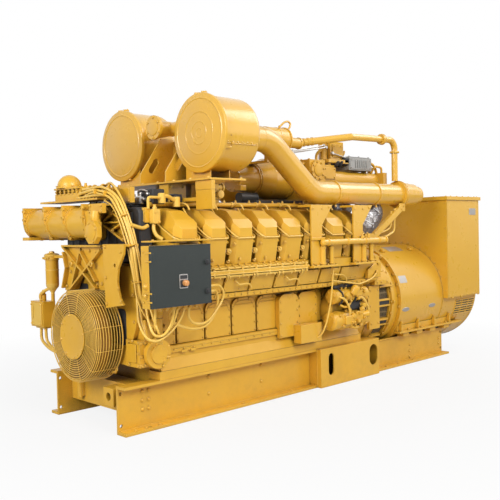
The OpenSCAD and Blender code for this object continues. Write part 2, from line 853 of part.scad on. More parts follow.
skid_rails();
side_boxes();
front_cross_member();
cross_members();
engine_feet();
oil_pan();
crankcase();
crankcase_doors();
side_cover();
cam_covers();
cylinder_heads();
valve_covers();
water_rails();
valley_cover();
valley_tray();
gear_case();
cooler_support();
support_plate();
water_pump();
damper_guard();
crank_damper();
front_manifold();
truss_bracket();
thermostat_housing();
filter_canister();
sender_box();
junction_box();
panel_box();
panel_bracket();
panel_door();
panel_knob();
air_cleaners();
cleaner_platform();
platform_posts();
crossover_pipe();
intake_pipes();
inlet_cone();
breather();
breather_pipe();
mixer_housing();
actuator();
ignition_box();
rear_manifold();
turbochargers();
pipe_legs();
coolant_pipe();
pipe_stay();
starter_motor();
flywheel_housing();
coupling_ring();
generator_frame();
generator_feet();
end_bell();
terminal_box();
terminal_lid();
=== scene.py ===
import math
import bpy
import numpy as np
from mathutils import Matrix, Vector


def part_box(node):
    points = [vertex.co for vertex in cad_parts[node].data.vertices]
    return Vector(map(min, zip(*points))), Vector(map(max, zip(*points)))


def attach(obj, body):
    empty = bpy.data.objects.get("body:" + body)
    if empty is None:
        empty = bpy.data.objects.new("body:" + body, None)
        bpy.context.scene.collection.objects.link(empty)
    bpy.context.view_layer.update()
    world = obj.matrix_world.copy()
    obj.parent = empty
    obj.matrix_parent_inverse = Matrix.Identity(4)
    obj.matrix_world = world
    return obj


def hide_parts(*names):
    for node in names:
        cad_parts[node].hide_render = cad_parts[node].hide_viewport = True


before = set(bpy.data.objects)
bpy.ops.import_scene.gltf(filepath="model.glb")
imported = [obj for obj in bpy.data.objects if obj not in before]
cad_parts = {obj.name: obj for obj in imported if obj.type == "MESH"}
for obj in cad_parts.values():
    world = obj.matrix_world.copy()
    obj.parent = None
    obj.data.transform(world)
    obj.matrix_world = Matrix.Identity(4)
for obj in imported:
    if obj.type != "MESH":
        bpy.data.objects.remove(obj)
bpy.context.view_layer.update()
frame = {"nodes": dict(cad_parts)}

cad = frame["nodes"]
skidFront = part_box("skid_rails")[0].x
crankHeight = sum(corner.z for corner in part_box("crank_damper")) / 2 * 1000
bankSides = (1, -1)  # near bank first, then its mirror image
firstBore, borePitch, boreCount = 392, 242, 8
boreStations = firstBore + borePitch * np.arange(boreCount)
toFront, toRear, toNear, toFar = (-1, 0, 0), (1, 0, 0), (0, -1, 0), (0, 1, 0)
upward, downward = (0, 0, 1), (0, 0, -1)


# shells: points in millimetres, quads and triangles, all closed

def at(points):  # millimetres from the skid's front end, the crank line and the floor, to metres
    return np.asarray(points, float) * 0.001 + (skidFront, 0, 0)


def skin(rows, ring=False):  # rows of points joined round and along; open ends get a fan to their middle
    n, m = rows.shape[:2]
    i = np.arange(n if ring else n - 1)[:, None] + np.zeros((1, m), int)
    j = np.arange(m)[None, :] + np.zeros_like(i)
    up, on = (i + 1) % n, (j + 1) % m
    quads = np.stack([i * m + j, i * m + on, up * m + on, up * m + j], -1).reshape(-1, 4)
    points = rows.reshape(-1, 3)
    if ring:
        return points, quads, np.zeros((0, 3), int)
    k = np.arange(m)
    low = np.stack([k * 0 + n * m, (k + 1) % m, k], 1)
    high = np.stack([k * 0 + n * m + 1, (n - 1) * m + k, (n - 1) * m + (k + 1) % m], 1)
    middles = np.array([rows[0].mean(0), rows[-1].mean(0)])
    return np.concatenate([points, middles]), quads, np.concatenate([low, high])


def lathe(profile, sides=24):  # radius and height of each step, turned in equal angles about Z
    radius, height = np.array(profile, float).T[:, :, None]
    angle = np.linspace(0, 2 * math.pi, sides, endpoint=False)
    return skin(np.stack([radius * np.cos(angle), radius * np.sin(angle), height + 0 * angle], -1))


def hoop(radius, wire, sides=96, around=8):  # circle of wire radius swept round a larger circle about Z
    a = np.linspace(0, 2 * math.pi, around, endpoint=False)[:, None]
    b = np.linspace(0, 2 * math.pi, sides, endpoint=False)[None, :]
    reach = radius + wire * np.cos(a)
    return skin(np.stack([reach * np.cos(b), reach * np.sin(b), wire * np.sin(a) + 0 * b], -1), True)


def prism(outline, depth, edge=1.5):
    # outline drawn out along Z, both rims drawn in along the corners' mean normals
    p = np.array(outline, float)
    run = np.roll(p, -1, 0) - p
    out = np.stack([run[:, 1], -run[:, 0]], 1) / np.linalg.norm(run, axis=1, keepdims=True)
    before = np.roll(out, 1, 0)
    inner = p - edge * (out + before) / (1 + (out * before).sum(1, keepdims=True))
    levels = [(inner, 0), (p, edge), (p, depth - edge), (inner, depth)]
    return skin(np.stack([np.column_stack([q, np.full(len(q), h)]) for q, h in levels]))


def roundRect(w, h, r, steps=3):  # corner arcs of radius r at the four corners, anticlockwise
    t = np.linspace(0, math.pi / 2, steps + 1)
    turns = (np.arange(4)[:, None] * math.pi / 2 + t).ravel()
    centre = np.repeat([[1, 1], [-1, 1], [-1, -1], [1, -1]], steps + 1, 0) * (w / 2 - r, h / 2 - r)
    return centre + r * np.stack([np.cos(turns), np.sin(turns)], 1)


def join(*shells):  # several shells as one
    points, quads, tris, count = [], [], [], 0
    for p, q, t in shells:
        points.append(p)
        quads.append(q + count)
        tris.append(t + count)
        count += len(p)
    return np.concatenate(points), np.concatenate(quads), np.concatenate(tris)


def shifted(shell, move):
    return shell[0] + np.array(move, float), shell[1], shell[2]


def curve(points, count=8):  # smooth cubic through the points, each span weighted by t, t squared and t cubed
    p = np.asarray(points, float)
    p = np.concatenate([[2 * p[0] - p[1]], p, [2 * p[-1] - p[-2]]])
    a, b, c, d = p[:-3], p[1:-2], p[2:-1], p[3:]
    t = np.arange(count)[:, None, None] / count
    span = 2 * b + (c - a) * t + (2 * a - 5 * b + 4 * c - d) * t**2 + (3 * b - a - 3 * c + d) * t**3
    return np.concatenate([0.5 * span.transpose(1, 0, 2).reshape(-1, 3), p[-2:-1]])


def bent(points, bend, count=6):
    # straight runs joined by parabolas that leave each corner bend millimetres away
    p = np.asarray(points, float)
    corner, back, on = p[1:-1], p[:-2] - p[1:-1], p[2:] - p[1:-1]
    backLen, onLen = (np.linalg.norm(v, axis=1, keepdims=True) for v in (back, on))
    reach = np.minimum(bend, 0.48 * np.minimum(backLen, onLen))
    t = np.linspace(0, 1, count)[:, None, None]
    start, end = corner + back / backLen * reach, corner + on / onLen * reach
    arcs = (1 - t) ** 2 * start + 2 * t * (1 - t) * corner + t**2 * end
    return np.concatenate([p[:1], arcs.transpose(1, 0, 2).reshape(-1, 3), p[-1:]])


def tube(path, radius, sides=10):
    # circle carried along a path, set across its tangent and its flattest direction
    path = np.asarray(path, float)
    tangent = np.gradient(path, axis=0)
    tangent /= np.linalg.norm(tangent, axis=1, keepdims=True)
    flat = np.linalg.eigh(np.cov(path.T))[1][:, 0]
    across = np.cross(flat, tangent)
    across /= np.linalg.norm(across, axis=1, keepdims=True)
    other = np.cross(tangent, across)
    angle = np.linspace(0, 2 * math.pi, sides, endpoint=False)[None, :, None]
    reach = np.broadcast_to(radius, len(path))[:, None, None]
    return skin(path[:, None] + reach * (np.cos(angle) * across[:, None] + np.sin(angle) * other[:, None]))


def axes(direction, up=None):  # right-handed frames: x across, y towards up, z along the direction
    w = np.atleast_2d(np.array(direction, float))
    w = w / np.linalg.norm(w, axis=1, keepdims=True)
    if up is None:
        up = np.where(np.abs(w[:, 2:]) > 0.9, [[0.0, 1.0, 0.0]], [[0.0, 0.0, 1.0]])
    u = np.cross(np.atleast_2d(up), w)
    u /= np.linalg.norm(u, axis=1, keepdims=True)
    return np.stack([u, np.cross(w, u), w], -1)


def copies(shell, places, direction, size=1.0, up=None):
    # the shell set down at each place, facing the direction
    places = np.atleast_2d(np.array(places, float))
    turn = np.broadcast_to(axes(direction, up), (len(places), 3, 3))
    points = np.einsum("nij,kj->nki", turn, shell[0] * size) + places[:, None]
    step = np.arange(len(places))[:, None, None] * len(shell[0])
    return points.reshape(-1, 3), (shell[1] + step).reshape(-1, 4), (shell[2] + step).reshape(-1, 3)


def spread(first, last, count):  # evenly spaced places on a line
    return np.linspace(first, last, count)


def ringOf(centre, radius, count, direction, start=0.0):
    # places evenly spaced on a circle that faces the direction
    turn = start + 2 * math.pi * np.arange(count) / count
    u, v = axes(direction)[0].T[:2]
    return np.array(centre, float) + radius * (np.cos(turn)[:, None] * u + np.sin(turn)[:, None] * v)


def onCrank(x):  # place on the crank line
    return np.array((x, 0, crankHeight))


def radial(turn, s=1):  # direction out from a line along x, turned up from the near or far side
    return np.array((0, -s * math.cos(turn), math.sin(turn)))


def mirrored(places):  # the same places on both banks, near side first
    places = np.atleast_2d(places)
    return np.concatenate([places, places * (1, -1, 1)])


def bothSides(places, outward=toNear):  # mirrored places, and directions to match
    n = len(np.atleast_2d(places))
    return mirrored(places), np.repeat([outward, np.array(outward) * (1, -1, 1)], n, 0)


def wrapped(xFrom, xTo, angles, radius, thick):  # patch bent round the crank line, closed round its rim
    a = np.linspace(math.radians(angles[0]), math.radians(angles[1]), 14)
    levels = [(0, -1), (1, -1), (1, 1), (0, 1)]
    rows = []
    for outer, end in levels:
        r = radius + thick * outer
        x = np.full(len(a), xFrom if end < 0 else xTo)
        rows.append(np.stack([x, -r * np.cos(a), crankHeight + r * np.sin(a)], -1))
    return skin(np.stack(rows, 1))


class Heap:  # shells gathered for one piece
    def __init__(self):
        self.shells = []

    def add(self, *shells):
        self.shells += shells
        return self

    def put(self, shell, *where, **way):  # a shell at each place: places, direction, size
        self.add(copies(shell, *where, **way))

    def plate(self, outline, depth, bevel, *where, **way):
        # plates: (width, height, corner), depth, edge bevel
        self.put(prism(roundRect(*outline), depth, bevel), *where, **way)

    def turned(self, profile, sides, *where, **way):  # turned parts: (radius, height) pairs
        self.put(lathe(profile, sides), *where, **way)

    def boltRing(self, centre, radius, count, direction, size, start=0.0):  # hex bolts on a circle
        self.put(hexBolt, ringOf(centre, radius, count, direction, start), direction, size)

    def pipe(self, points, steps, radius, sides):  # pipe on a smooth curve through the points
        self.add(tube(curve(points, steps), radius, sides))

    def piece(self, name, finish, body="genset", slot=None, sharp=34):
        points, quads, tris = join(*self.shells)
        mesh = bpy.data.meshes.new(name)
        mesh.vertices.add(len(points))
        mesh.vertices.foreach_set("co", at(points).astype(np.float32).ravel())
        mesh.loops.add(quads.size + tris.size)
        mesh.loops.foreach_set("vertex_index", np.concatenate([quads.ravel(), tris.ravel()]).astype(np.int32))
        sizes = np.repeat([4, 3], [len(quads), len(tris)])
        mesh.polygons.add(len(sizes))
        mesh.polygons.foreach_set("loop_start", (np.cumsum(sizes) - sizes).astype(np.int32))
        mesh.polygons.foreach_set("use_smooth", np.ones(len(sizes), bool))
        mesh.update(calc_edges=True)
        mesh.set_sharp_from_angle(angle=math.radians(sharp))
        mesh.materials.append(finish)
        made = bpy.data.objects.new(name, mesh)
        bpy.context.scene.collection.objects.link(made)
        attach(made, body)
        slot = slot or finishSlots.get(finish.name)
        return made


# finishes

def node(tree, kind, inputs=None, **settings):
    made = tree.nodes.new(kind)
    for key, value in settings.items():
        setattr(made, key, value)
    for key, value in (inputs or {}).items():
        if isinstance(value, bpy.types.NodeSocket):
            tree.links.new(value, made.inputs[key])
        else:
            made.inputs[key].default_value = value
    return made


def calc(tree, operation, a, b=0.0, clamp=False):
    return node(tree, "ShaderNodeMath", {0: a, 1: b}, operation=operation, use_clamp=clamp).outputs[0]


def mix(tree, factor, a, b, blend="MIX"):
    made = node(tree, "ShaderNodeMix", {0: factor, 6: a, 7: b}, data_type="RGBA", blend_type=blend)
    return made.outputs[2]


def ramp(tree, value, low, high, toLow=0.0, toHigh=1.0):
    made = node(tree, "ShaderNodeMapRange", {0: value, 1: low, 2: high, 3: toLow, 4: toHigh})
    return made.outputs[0]


def noise(tree, vector, scale, detail=3.0, rough=0.55, distort=0.0):
    made = node(tree, "ShaderNodeTexNoise",
                {"Vector": vector, "Scale": scale, "Detail": detail, "Roughness": rough,
                 "Distortion": distort})
    return made.outputs["Fac"]


def newGroup(name, inputs, outputs):
    tree = bpy.data.node_groups.new(name, "ShaderNodeTree")
    for label, (kind, value) in inputs.items():
        socket = tree.interface.new_socket(label, in_out="INPUT", socket_type="NodeSocket" + kind)
        if value is not None:
            socket.default_value = value
    for label, kind in outputs.items():
        tree.interface.new_socket(label, in_out="OUTPUT", socket_type="NodeSocket" + kind)
    return tree, tree.nodes.new("NodeGroupInput").outputs, tree.nodes.new("NodeGroupOutput").inputs


def agedTone():  # enamel that varies in tone over the piece, with shop dust low down
    tree, given, put = newGroup(
        "agedTone",
        {"Vector": ("Vector", None), "Color": ("Color", (0.8, 0.5, 0.1, 1)),
         "Deep": ("Color", (0.6, 0.3, 0.03, 1)), "Amount": ("Float", 0.5), "Dust": ("Float", 0.3)},
        {"Color": "Color", "Fine": "Float", "Dusty": "Float"})
    broad = noise(tree, given["Vector"], 1.3, 2.0)
    fine = noise(tree, given["Vector"], 12.0, 6.0, 0.62)
    both = calc(tree, "ADD", calc(tree, "MULTIPLY", broad, 0.6), calc(tree, "MULTIPLY", fine, 0.4))
    tone = calc(tree, "MULTIPLY", ramp(tree, both, 0.4, 0.68), given["Amount"])
    color = mix(tree, tone, given["Color"], given["Deep"])
    height = node(tree, "ShaderNodeSeparateXYZ", {0: given["Vector"]}).outputs[2]
    low = ramp(tree, height, 0.45, 0.0)
    specks = ramp(tree, noise(tree, given["Vector"], 6.0, 7.0, 0.7), 0.45, 0.75)
    dusty = calc(tree, "MULTIPLY", calc(tree, "MULTIPLY", low, specks), given["Dust"])
    tree.links.new(mix(tree, dusty, color, (0.4, 0.26, 0.1, 1)), put["Color"])
    tree.links.new(fine, put["Fine"])
    tree.links.new(dusty, put["Dusty"])
    return tree


def edgesAndCreases():  # where rounded and true normals part is an edge; where little sky is seen is a crease; the paint uses these masks for painted highlight on edges and painted shade in creases and hollows
    tree, given, put = newGroup(
        "edgesAndCreases", {"Radius": ("Float", 0.004), "Reach": ("Float", 0.03), "Deep": ("Float", 0.3)},
        {"Edge": "Float", "Crease": "Float", "Hollow": "Float", "Normal": "Vector"})
    rounded = node(tree, "ShaderNodeBevel", {"Radius": given["Radius"]}, samples=4).outputs[0]
    plain = node(tree, "ShaderNodeNewGeometry").outputs["Normal"]
    dot = node(tree, "ShaderNodeVectorMath", {0: rounded, 1: plain}, operation="DOT_PRODUCT").outputs["Value"]
    near = node(tree, "ShaderNodeAmbientOcclusion", {"Distance": given["Reach"]}, samples=5).outputs["AO"]
    wide = node(tree, "ShaderNodeAmbientOcclusion", {"Distance": given["Deep"]}, samples=6).outputs["AO"]
    tree.links.new(ramp(tree, dot, 0.98, 0.75), put["Edge"])
    tree.links.new(ramp(tree, near, 0.6, 0.1), put["Crease"])
    tree.links.new(ramp(tree, wide, 0.36, 0.05), put["Hollow"])
    tree.links.new(rounded, put["Normal"])
    return tree


def castGrain():  # sand-cast skin: two sizes of noise
    tree, given, put = newGroup("castGrain", {"Vector": ("Vector", None), "Scale": ("Float", 120.0)},
                                {"Height": "Float"})
    coarse = noise(tree, given["Vector"], given["Scale"], 3.0)
    finer = calc(tree, "MULTIPLY", given["Scale"], 3.1)
    small = noise(tree, given["Vector"], finer, 2.0)
    tree.links.new(calc(tree, "ADD", calc(tree, "MULTIPLY", coarse, 0.7), calc(tree, "MULTIPLY", small, 0.3)),
                   put["Height"])
    return tree


def crumple():  # creased foil: cell borders bent by noise, in two sizes
    tree, given, put = newGroup("crumple", {"Vector": ("Vector", None), "Scale": ("Float", 20.0)},
                                {"Height": "Float", "Fold": "Float"})
    drift = node(tree, "ShaderNodeTexNoise", {"Vector": given["Vector"], "Scale": given["Scale"],
                                              "Detail": 2.0})
    bentBy = node(tree, "ShaderNodeVectorMath", {0: drift.outputs["Color"], 3: 0.035},
                  operation="SCALE").outputs[0]
    moved = node(tree, "ShaderNodeVectorMath", {0: given["Vector"], 1: bentBy}, operation="ADD").outputs[0]
    big = node(tree, "ShaderNodeTexVoronoi", {"Vector": moved, "Scale": given["Scale"]}).outputs["Distance"]
    finer = calc(tree, "MULTIPLY", given["Scale"], 2.6)
    small = node(tree, "ShaderNodeTexVoronoi", {"Vector": moved, "Scale": finer}).outputs["Distance"]
    height = calc(tree, "ADD", big, calc(tree, "MULTIPLY", small, 0.4))
    tree.links.new(height, put["Height"])
    tree.links.new(ramp(tree, height, 0.25, 0.75), put["Fold"])
    return tree


groups = {"tone": agedTone(), "edges": edgesAndCreases(), "grain": castGrain(), "crumple": crumple()}


def usedGroup(tree, key, inputs):
    made = tree.nodes.new("ShaderNodeGroup")
    made.node_tree = groups[key]
    for label, value in inputs.items():
        if isinstance(value, bpy.types.NodeSocket):
            tree.links.new(value, made.inputs[label])
        else:
            made.inputs[label].default_value = value
    return made.outputs


def blankFinish(name, **plain):
    material = bpy.data.materials.new(name)
    material.use_nodes = True
    shader = material.node_tree.nodes["Principled BSDF"]
    for label, value in plain.items():
        shader.inputs[label.replace("_", " ")].default_value = value
    spot = material.node_tree.nodes.new("ShaderNodeTexCoord").outputs["Object"]
    return material, material.node_tree, shader, spot


def paint(name, color, deep, amount=0.5, dust=0.3, grain=120.0, depth=0.12, gloss=0.36, edge=0.35, crease=0.7,
          radius=0.004, lightEdge=(0.95, 0.7, 0.25, 1), grime=(0.13, 0.065, 0.01, 1), hollow=0.8, coat=0.2):
    material, tree, shader, spot = blankFinish(name, Coat_Weight=coat, Coat_Roughness=0.2,
                                               Specular_IOR_Level=0.46)
    tone = usedGroup(tree, "tone", {"Vector": spot, "Color": (*color, 1), "Deep": (*deep, 1),
                                    "Amount": amount, "Dust": dust})
    shape = usedGroup(tree, "edges", {"Radius": radius})
    # lighter colour on the edges and rims: painted highlight
    edgeHighlit = mix(tree, calc(tree, "MULTIPLY", shape["Edge"], edge), tone["Color"], lightEdge)
    # darker colour in the creases, where little sky is seen: painted shade
    dark = mix(tree, calc(tree, "MULTIPLY", shape["Crease"], crease), edgeHighlit, grime)
    # near-black colour in the hollows, where little sky is seen: painted shade
    sunk = mix(tree, calc(tree, "MULTIPLY", shape["Hollow"], hollow), dark, (0.035, 0.02, 0.005, 1))
    tree.links.new(sunk, shader.inputs["Base Color"])
    rough = calc(tree, "ADD", ramp(tree, tone["Fine"], 0.3, 0.7, gloss - 0.06, gloss + 0.1),
                 calc(tree, "MULTIPLY", tone["Dusty"], 0.4))
    tree.links.new(rough, shader.inputs["Roughness"])
    skinHeight = usedGroup(tree, "grain", {"Vector": spot, "Scale": grain})["Height"]
    bump = node(tree, "ShaderNodeBump", {"Strength": depth, "Distance": 0.002, "Height": skinHeight,
                                         "Normal": shape["Normal"]})
    tree.links.new(bump.outputs[0], shader.inputs["Normal"])
    return material


paintTones = {"yellow": (0.8, 0.45, 0.036), "deepYellow": (0.69, 0.35, 0.018),
              "paleYellow": (0.88, 0.56, 0.1), "brown": (0.4, 0.2, 0.025), "deepBrown": (0.26, 0.125, 0.016),
              "door": (0.023, 0.03, 0.027), "deepDoor": (0.016, 0.022, 0.02), "box": (0.42, 0.42, 0.4),
              "deepBox": (0.3, 0.3, 0.29), "tray": (0.03, 0.029, 0.027), "deepTray": (0.05, 0.045, 0.038)}
finishSlots = {}  # slot name for each finish; piece() looks it up but keeps it nowhere
smoothSheet = {"amount": 0.4, "dust": 0.15, "grain": 260.0, "depth": 0.07, "gloss": 0.3, "edge": 0.3,
               "crease": 0.6}


def painted(name, tone, deep, slot="machine_paint", **look):
    if slot:
        finishSlots[name] = slot
    return paint(name, paintTones[tone], paintTones[deep], **look)


castYellow = painted("castYellow", "yellow", "deepYellow", amount=0.55, dust=0.2, grain=110.0, depth=0.3,
                     gloss=0.38)
sheetYellow = painted("sheetYellow", "yellow", "deepYellow", coat=0.35, **smoothSheet)
glossYellow = painted("glossYellow", "yellow", "deepYellow", hollow=0.4, coat=0.8, **smoothSheet)
skidYellow = painted("skidYellow", "yellow", "deepYellow", amount=0.45, dust=0.3, grain=160.0, depth=0.14,
                     gloss=0.4)
trimYellow = painted("trimYellow", "paleYellow", "yellow", amount=0.5, dust=0.3, grain=200.0, depth=0.1,
                     gloss=0.36, edge=0.4, crease=0.75, radius=0.0015)
wireYellow = painted("wireYellow", "paleYellow", "yellow", amount=0.3, dust=0.1, grain=200.0, depth=0.05,
                     gloss=0.34, edge=0.2, crease=0.1, radius=0.001, hollow=0.1)
# the damper's brown stands for the shade inside the guard: painted shade
damperShadeBrown = painted("damperShadeBrown", "brown", "deepBrown", amount=0.7, dust=0.2, grain=140.0, depth=0.2,
                      gloss=0.42)
doorGrey = painted("doorGrey", "door", "deepDoor", "door_paint", amount=0.6, dust=0.0, grain=420.0,
                   depth=0.25, gloss=0.45, edge=0.3, crease=0.5, radius=0.002, lightEdge=(0.2, 0.23, 0.23, 1),
                   grime=(0.01, 0.012, 0.012, 1))
boxGrey = painted("boxGrey", "box", "deepBox", None, amount=0.5, dust=0.0, grain=300.0, depth=0.2, gloss=0.42,
                  edge=0.3, crease=0.6, radius=0.002, lightEdge=(0.5, 0.5, 0.47, 1),
                  grime=(0.04, 0.04, 0.04, 1))
# the tray's black is partly the black parts in the valley and partly painted shade of the deep gap under the
# cone
trayBlack = painted("trayBlack", "tray", "deepTray", None, amount=0.7, dust=0.0, grain=90.0, depth=0.3,
                    gloss=0.6, edge=0.2, crease=0.5, radius=0.003, lightEdge=(0.12, 0.11, 0.1, 1),
                    grime=(0.008, 0.008, 0.008, 1))


def knobFinish():
    material, tree, shader, spot = blankFinish("knobCopper", Coat_Weight=0.5, Coat_Roughness=0.1)
    turned = node(tree, "ShaderNodeTexNoise", {"Vector": spot, "Scale": 300.0, "Detail": 3.0}).outputs["Fac"]
    tree.links.new(mix(tree, turned, (0.62, 0.24, 0.06, 1), (0.85, 0.4, 0.13, 1)),
                   shader.inputs["Base Color"])
    tree.links.new(ramp(tree, turned, 0.3, 0.7, 0.2, 0.36), shader.inputs["Roughness"])
    return material


def rubberFinish(name, color, ribs=900.0):
    material, tree, shader, spot = blankFinish(name)
    speck = noise(tree, spot, 90.0, 4.0)
    tree.links.new(mix(tree, speck, (*color, 1), tuple(c * 1.9 for c in color) + (1,)),
                   shader.inputs["Base Color"])
    tree.links.new(ramp(tree, speck, 0.3, 0.7, 0.5, 0.72), shader.inputs["Roughness"])
    bump = node(tree, "ShaderNodeBump", {"Strength": 0.2, "Distance": 0.001,
                                         "Height": noise(tree, spot, ribs, 2.0)})
    tree.links.new(bump.outputs[0], shader.inputs["Normal"])
    return material


def metalFinish(name, color, rough=0.32, streak=60.0):
    material, tree, shader, spot = blankFinish(name, Metallic=1.0)
    drawn = node(tree, "ShaderNodeMapping", {"Vector": spot, "Scale": (1.0, 1.0, 9.0)}).outputs[0]
    mark = noise(tree, drawn, streak, 5.0)
    tree.links.new(mix(tree, mark, tuple(c * 0.72 for c in color) + (1,), (*color, 1)),
                   shader.inputs["Base Color"])
    tree.links.new(ramp(tree, mark, 0.3, 0.7, rough - 0.08, rough + 0.16), shader.inputs["Roughness"])
    return material


def foilFinish():
    material, tree, shader, spot = blankFinish("foilSilver", Metallic=1.0)
    fold = usedGroup(tree, "crumple", {"Vector": spot, "Scale": 17.0})
    stain = ramp(tree, noise(tree, spot, 9.0, 4.0), 0.4, 0.7)
    # silver darker towards the crease lines: painted shade of the folds
    silver = mix(tree, fold["Fold"], (0.5, 0.5, 0.52, 1), (0.24, 0.23, 0.24, 1))
    tree.links.new(mix(tree, calc(tree, "MULTIPLY", stain, 0.35), silver, (0.42, 0.36, 0.28, 1)),
                   shader.inputs["Base Color"])
    tree.links.new(ramp(tree, fold["Height"], 0.2, 0.9, 0.34, 0.55), shader.inputs["Roughness"])
    bump = node(tree, "ShaderNodeBump", {"Strength": 0.9, "Distance": 0.012, "Height": fold["Height"]})
    tree.links.new(bump.outputs[0], shader.inputs["Normal"])
    return material


def screenFinish():  # woven screen behind the openings: bright wires on a dark ground; the dark ground is painted shade of the inside seen through the openings
    material, tree, shader, spot = blankFinish("screenWire", Metallic=0.0)
    part = node(tree, "ShaderNodeSeparateXYZ", {0: spot})
    waves = [calc(tree, "SINE", calc(tree, "MULTIPLY", part.outputs[k], 620.0)) for k in range(3)]
    weave = calc(tree, "MAXIMUM", calc(tree, "MAXIMUM", waves[0], waves[1]), waves[2])
    wires = ramp(tree, weave, 0.72, 0.98)
    tree.links.new(mix(tree, wires, (0.035, 0.028, 0.018, 1), (0.3, 0.21, 0.09, 1)),
                   shader.inputs["Base Color"])
    tree.links.new(ramp(tree, wires, 0, 1, 0.85, 0.5), shader.inputs["Roughness"])
    bump = node(tree, "ShaderNodeBump", {"Strength": 0.5, "Distance": 0.002, "Height": wires})
    tree.links.new(bump.outputs[0], shader.inputs["Normal"])
    return material


knobCopper = knobFinish()
blackRubberAndShade = rubberFinish("blackRubberAndShade", (0.018, 0.018, 0.019))
wireWhite = rubberFinish("wireWhite", (0.42, 0.4, 0.36))
wireRed = rubberFinish("wireRed", (0.36, 0.03, 0.02))
wireBlue = rubberFinish("wireBlue", (0.03, 0.07, 0.3))
zinc = metalFinish("zincPlate", (0.68, 0.66, 0.62))
plateMetal = metalFinish("plateMetal", (0.56, 0.53, 0.5), 0.42, 30.0)
foilSilver = foilFinish()
screenWire = screenFinish()

cadFinish = dict.fromkeys(cad, castYellow)
nodeFinishes = [
    (sheetYellow, ("cleaner_platform", "platform_posts", "breather", "terminal_box", "terminal_lid",
                   "generator_frame", "end_bell", "panel_box", "panel_bracket", "sender_box", "junction_box",
                   "coolant_pipe", "pipe_stay", "pipe_legs", "damper_guard", "side_cover", "actuator")),
    (glossYellow, ("air_cleaners", "crossover_pipe", "intake_pipes", "inlet_cone", "breather_pipe")),
    (skidYellow, ("skid_rails", "side_boxes", "front_cross_member", "cross_members", "engine_feet",
                  "generator_feet"))]
for finish, keys in nodeFinishes:
    cadFinish.update(dict.fromkeys(keys, finish))
cadFinish.update(crank_damper=damperShadeBrown, panel_door=doorGrey, panel_knob=knobCopper, ignition_box=boxGrey,
                 valley_tray=trayBlack, turbochargers=foilSilver)
for key, finish in cadFinish.items():
    slots = cad[key].data.materials
    slots.clear()
    slots.append(finish)
print("finishes ready")

# small parts that many pieces use, one millimetre or one radius in size

hexBolt = join(lathe([(1.45, 0), (1.45, 0.25)], 10), lathe([(1.0, 0.2), (1.0, 0.85), (0.8, 1.0)], 6))
domeBolt = join(lathe([(1.4, 0), (1.4, 0.2)], 12),
                lathe([(1.0, 0.15), (0.98, 0.5), (0.7, 0.85), (0.25, 1.0)], 12))
plug = join(lathe([(1, 0), (1, 1.6), (0.85, 1.8)], 16), lathe([(0.8, 1.7), (0.75, 2.6), (0.4, 3.0)], 12))
plainStud = lathe([(1.0, 0), (1.0, 1.4), (0.8, 1.6)], 8)
fitting = join(lathe([(1.0, 0), (1.0, 0.9), (0.9, 1.0)], 6),
               lathe([(0.62, 0.9), (0.62, 1.9), (0.5, 2.0)], 10))


def clampBand(centre, radius, width=14, thick=2.5, direction=toRear, tail=upward):  # band with a bolted ear
    band = lathe([(radius + 0.5, -width / 2), (radius + thick, -width / 2 + 1),
                  (radius + thick, width / 2 - 1), (radius + 0.5, width / 2)], 40)
    ear = np.array(centre, float) + (radius + 6) * np.array(tail, float)
    return [copies(band, [centre], direction),
            copies(prism(roundRect(width * 1.1, 14, 2), 16, 1), [ear], tail, up=direction),
            copies(hexBolt, [ear + 14 * np.array(tail, float)], tail, 6)]


# wire guard and damper at the front of the crankshaft

guard = {"wire": 2.3, "faceRings": 9, "sideRings": 9, "front": -80, "back": 103, "outer": 293, "hub": 147,
         "corner": 24, "hubBolt": 7.5, "spokes": 12, "backWire": 4.5}


def makeGuard():
    # rings on the face, round the corner and along the side, tied by spokes bent over the corner
    wires = Heap()
    flatReach = guard["outer"] - guard["corner"]
    turn = np.radians([0, 30, 60])
    rings = [(radius, guard["front"]) for radius in spread(guard["hub"] + 9, flatReach - 15,
                                                           guard["faceRings"] - 1)]
    rings += zip(flatReach + guard["corner"] * np.sin(turn),
                 guard["front"] + guard["corner"] * (1 - np.cos(turn)))
    rings += [(guard["outer"], x) for x in spread(guard["front"] + guard["corner"], guard["back"],
                                                  guard["sideRings"])]
    for radius, x in rings:
        wires.put(hoop(radius, guard["wire"]), [onCrank(x)], toRear)
    inside = 2 * guard["wire"]
    profile = bent([(guard["front"] + inside, 0, guard["hub"] - 14),
                    (guard["front"] + inside, 0, guard["outer"] - inside),
                    (guard["back"], 0, guard["outer"] - inside)], guard["corner"], 8)
    spoke = tube(profile, guard["wire"], 8)
    for angle in 2 * math.pi * (np.arange(guard["spokes"]) + 0.5) / guard["spokes"]:
        turned = spoke[0] @ np.array([[1, 0, 0], [0, math.cos(angle), math.sin(angle)],
                                      [0, -math.sin(angle), math.cos(angle)]])
        wires.add((turned + onCrank(0), spoke[1], spoke[2]))
    wires.put(hoop(guard["outer"], guard["backWire"]), [onCrank(guard["back"])], toRear)
    tabs = ringOf(onCrank(guard["back"] + 4), guard["outer"] + 2, 4, toFront, math.pi / 4)
    wires.plate((30, 30, 7), 6, 1.5, tabs, toFront)
    wires.put(hexBolt, tabs - (6, 0, 0), toFront, guard["hubBolt"])
    wires.piece("guard_wires", wireYellow)
    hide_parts("damper_guard")
    hub = Heap()
    face = guard["front"] - 3
    dish = [(guard["hub"] - 1, -5), (guard["hub"] - 1, 3.5), (guard["hub"] - 5, 4.5),
            (guard["hub"] - 12, 2.2), (40, 2.6), (6, 3.2)]
    hub.turned(dish, 72, [onCrank(face)], toFront)
    hub.boltRing(onCrank(face - 2), guard["hub"] - 11, 8, toFront, guard["hubBolt"], 0.2)
    hub.piece("guard_hub", sheetYellow)


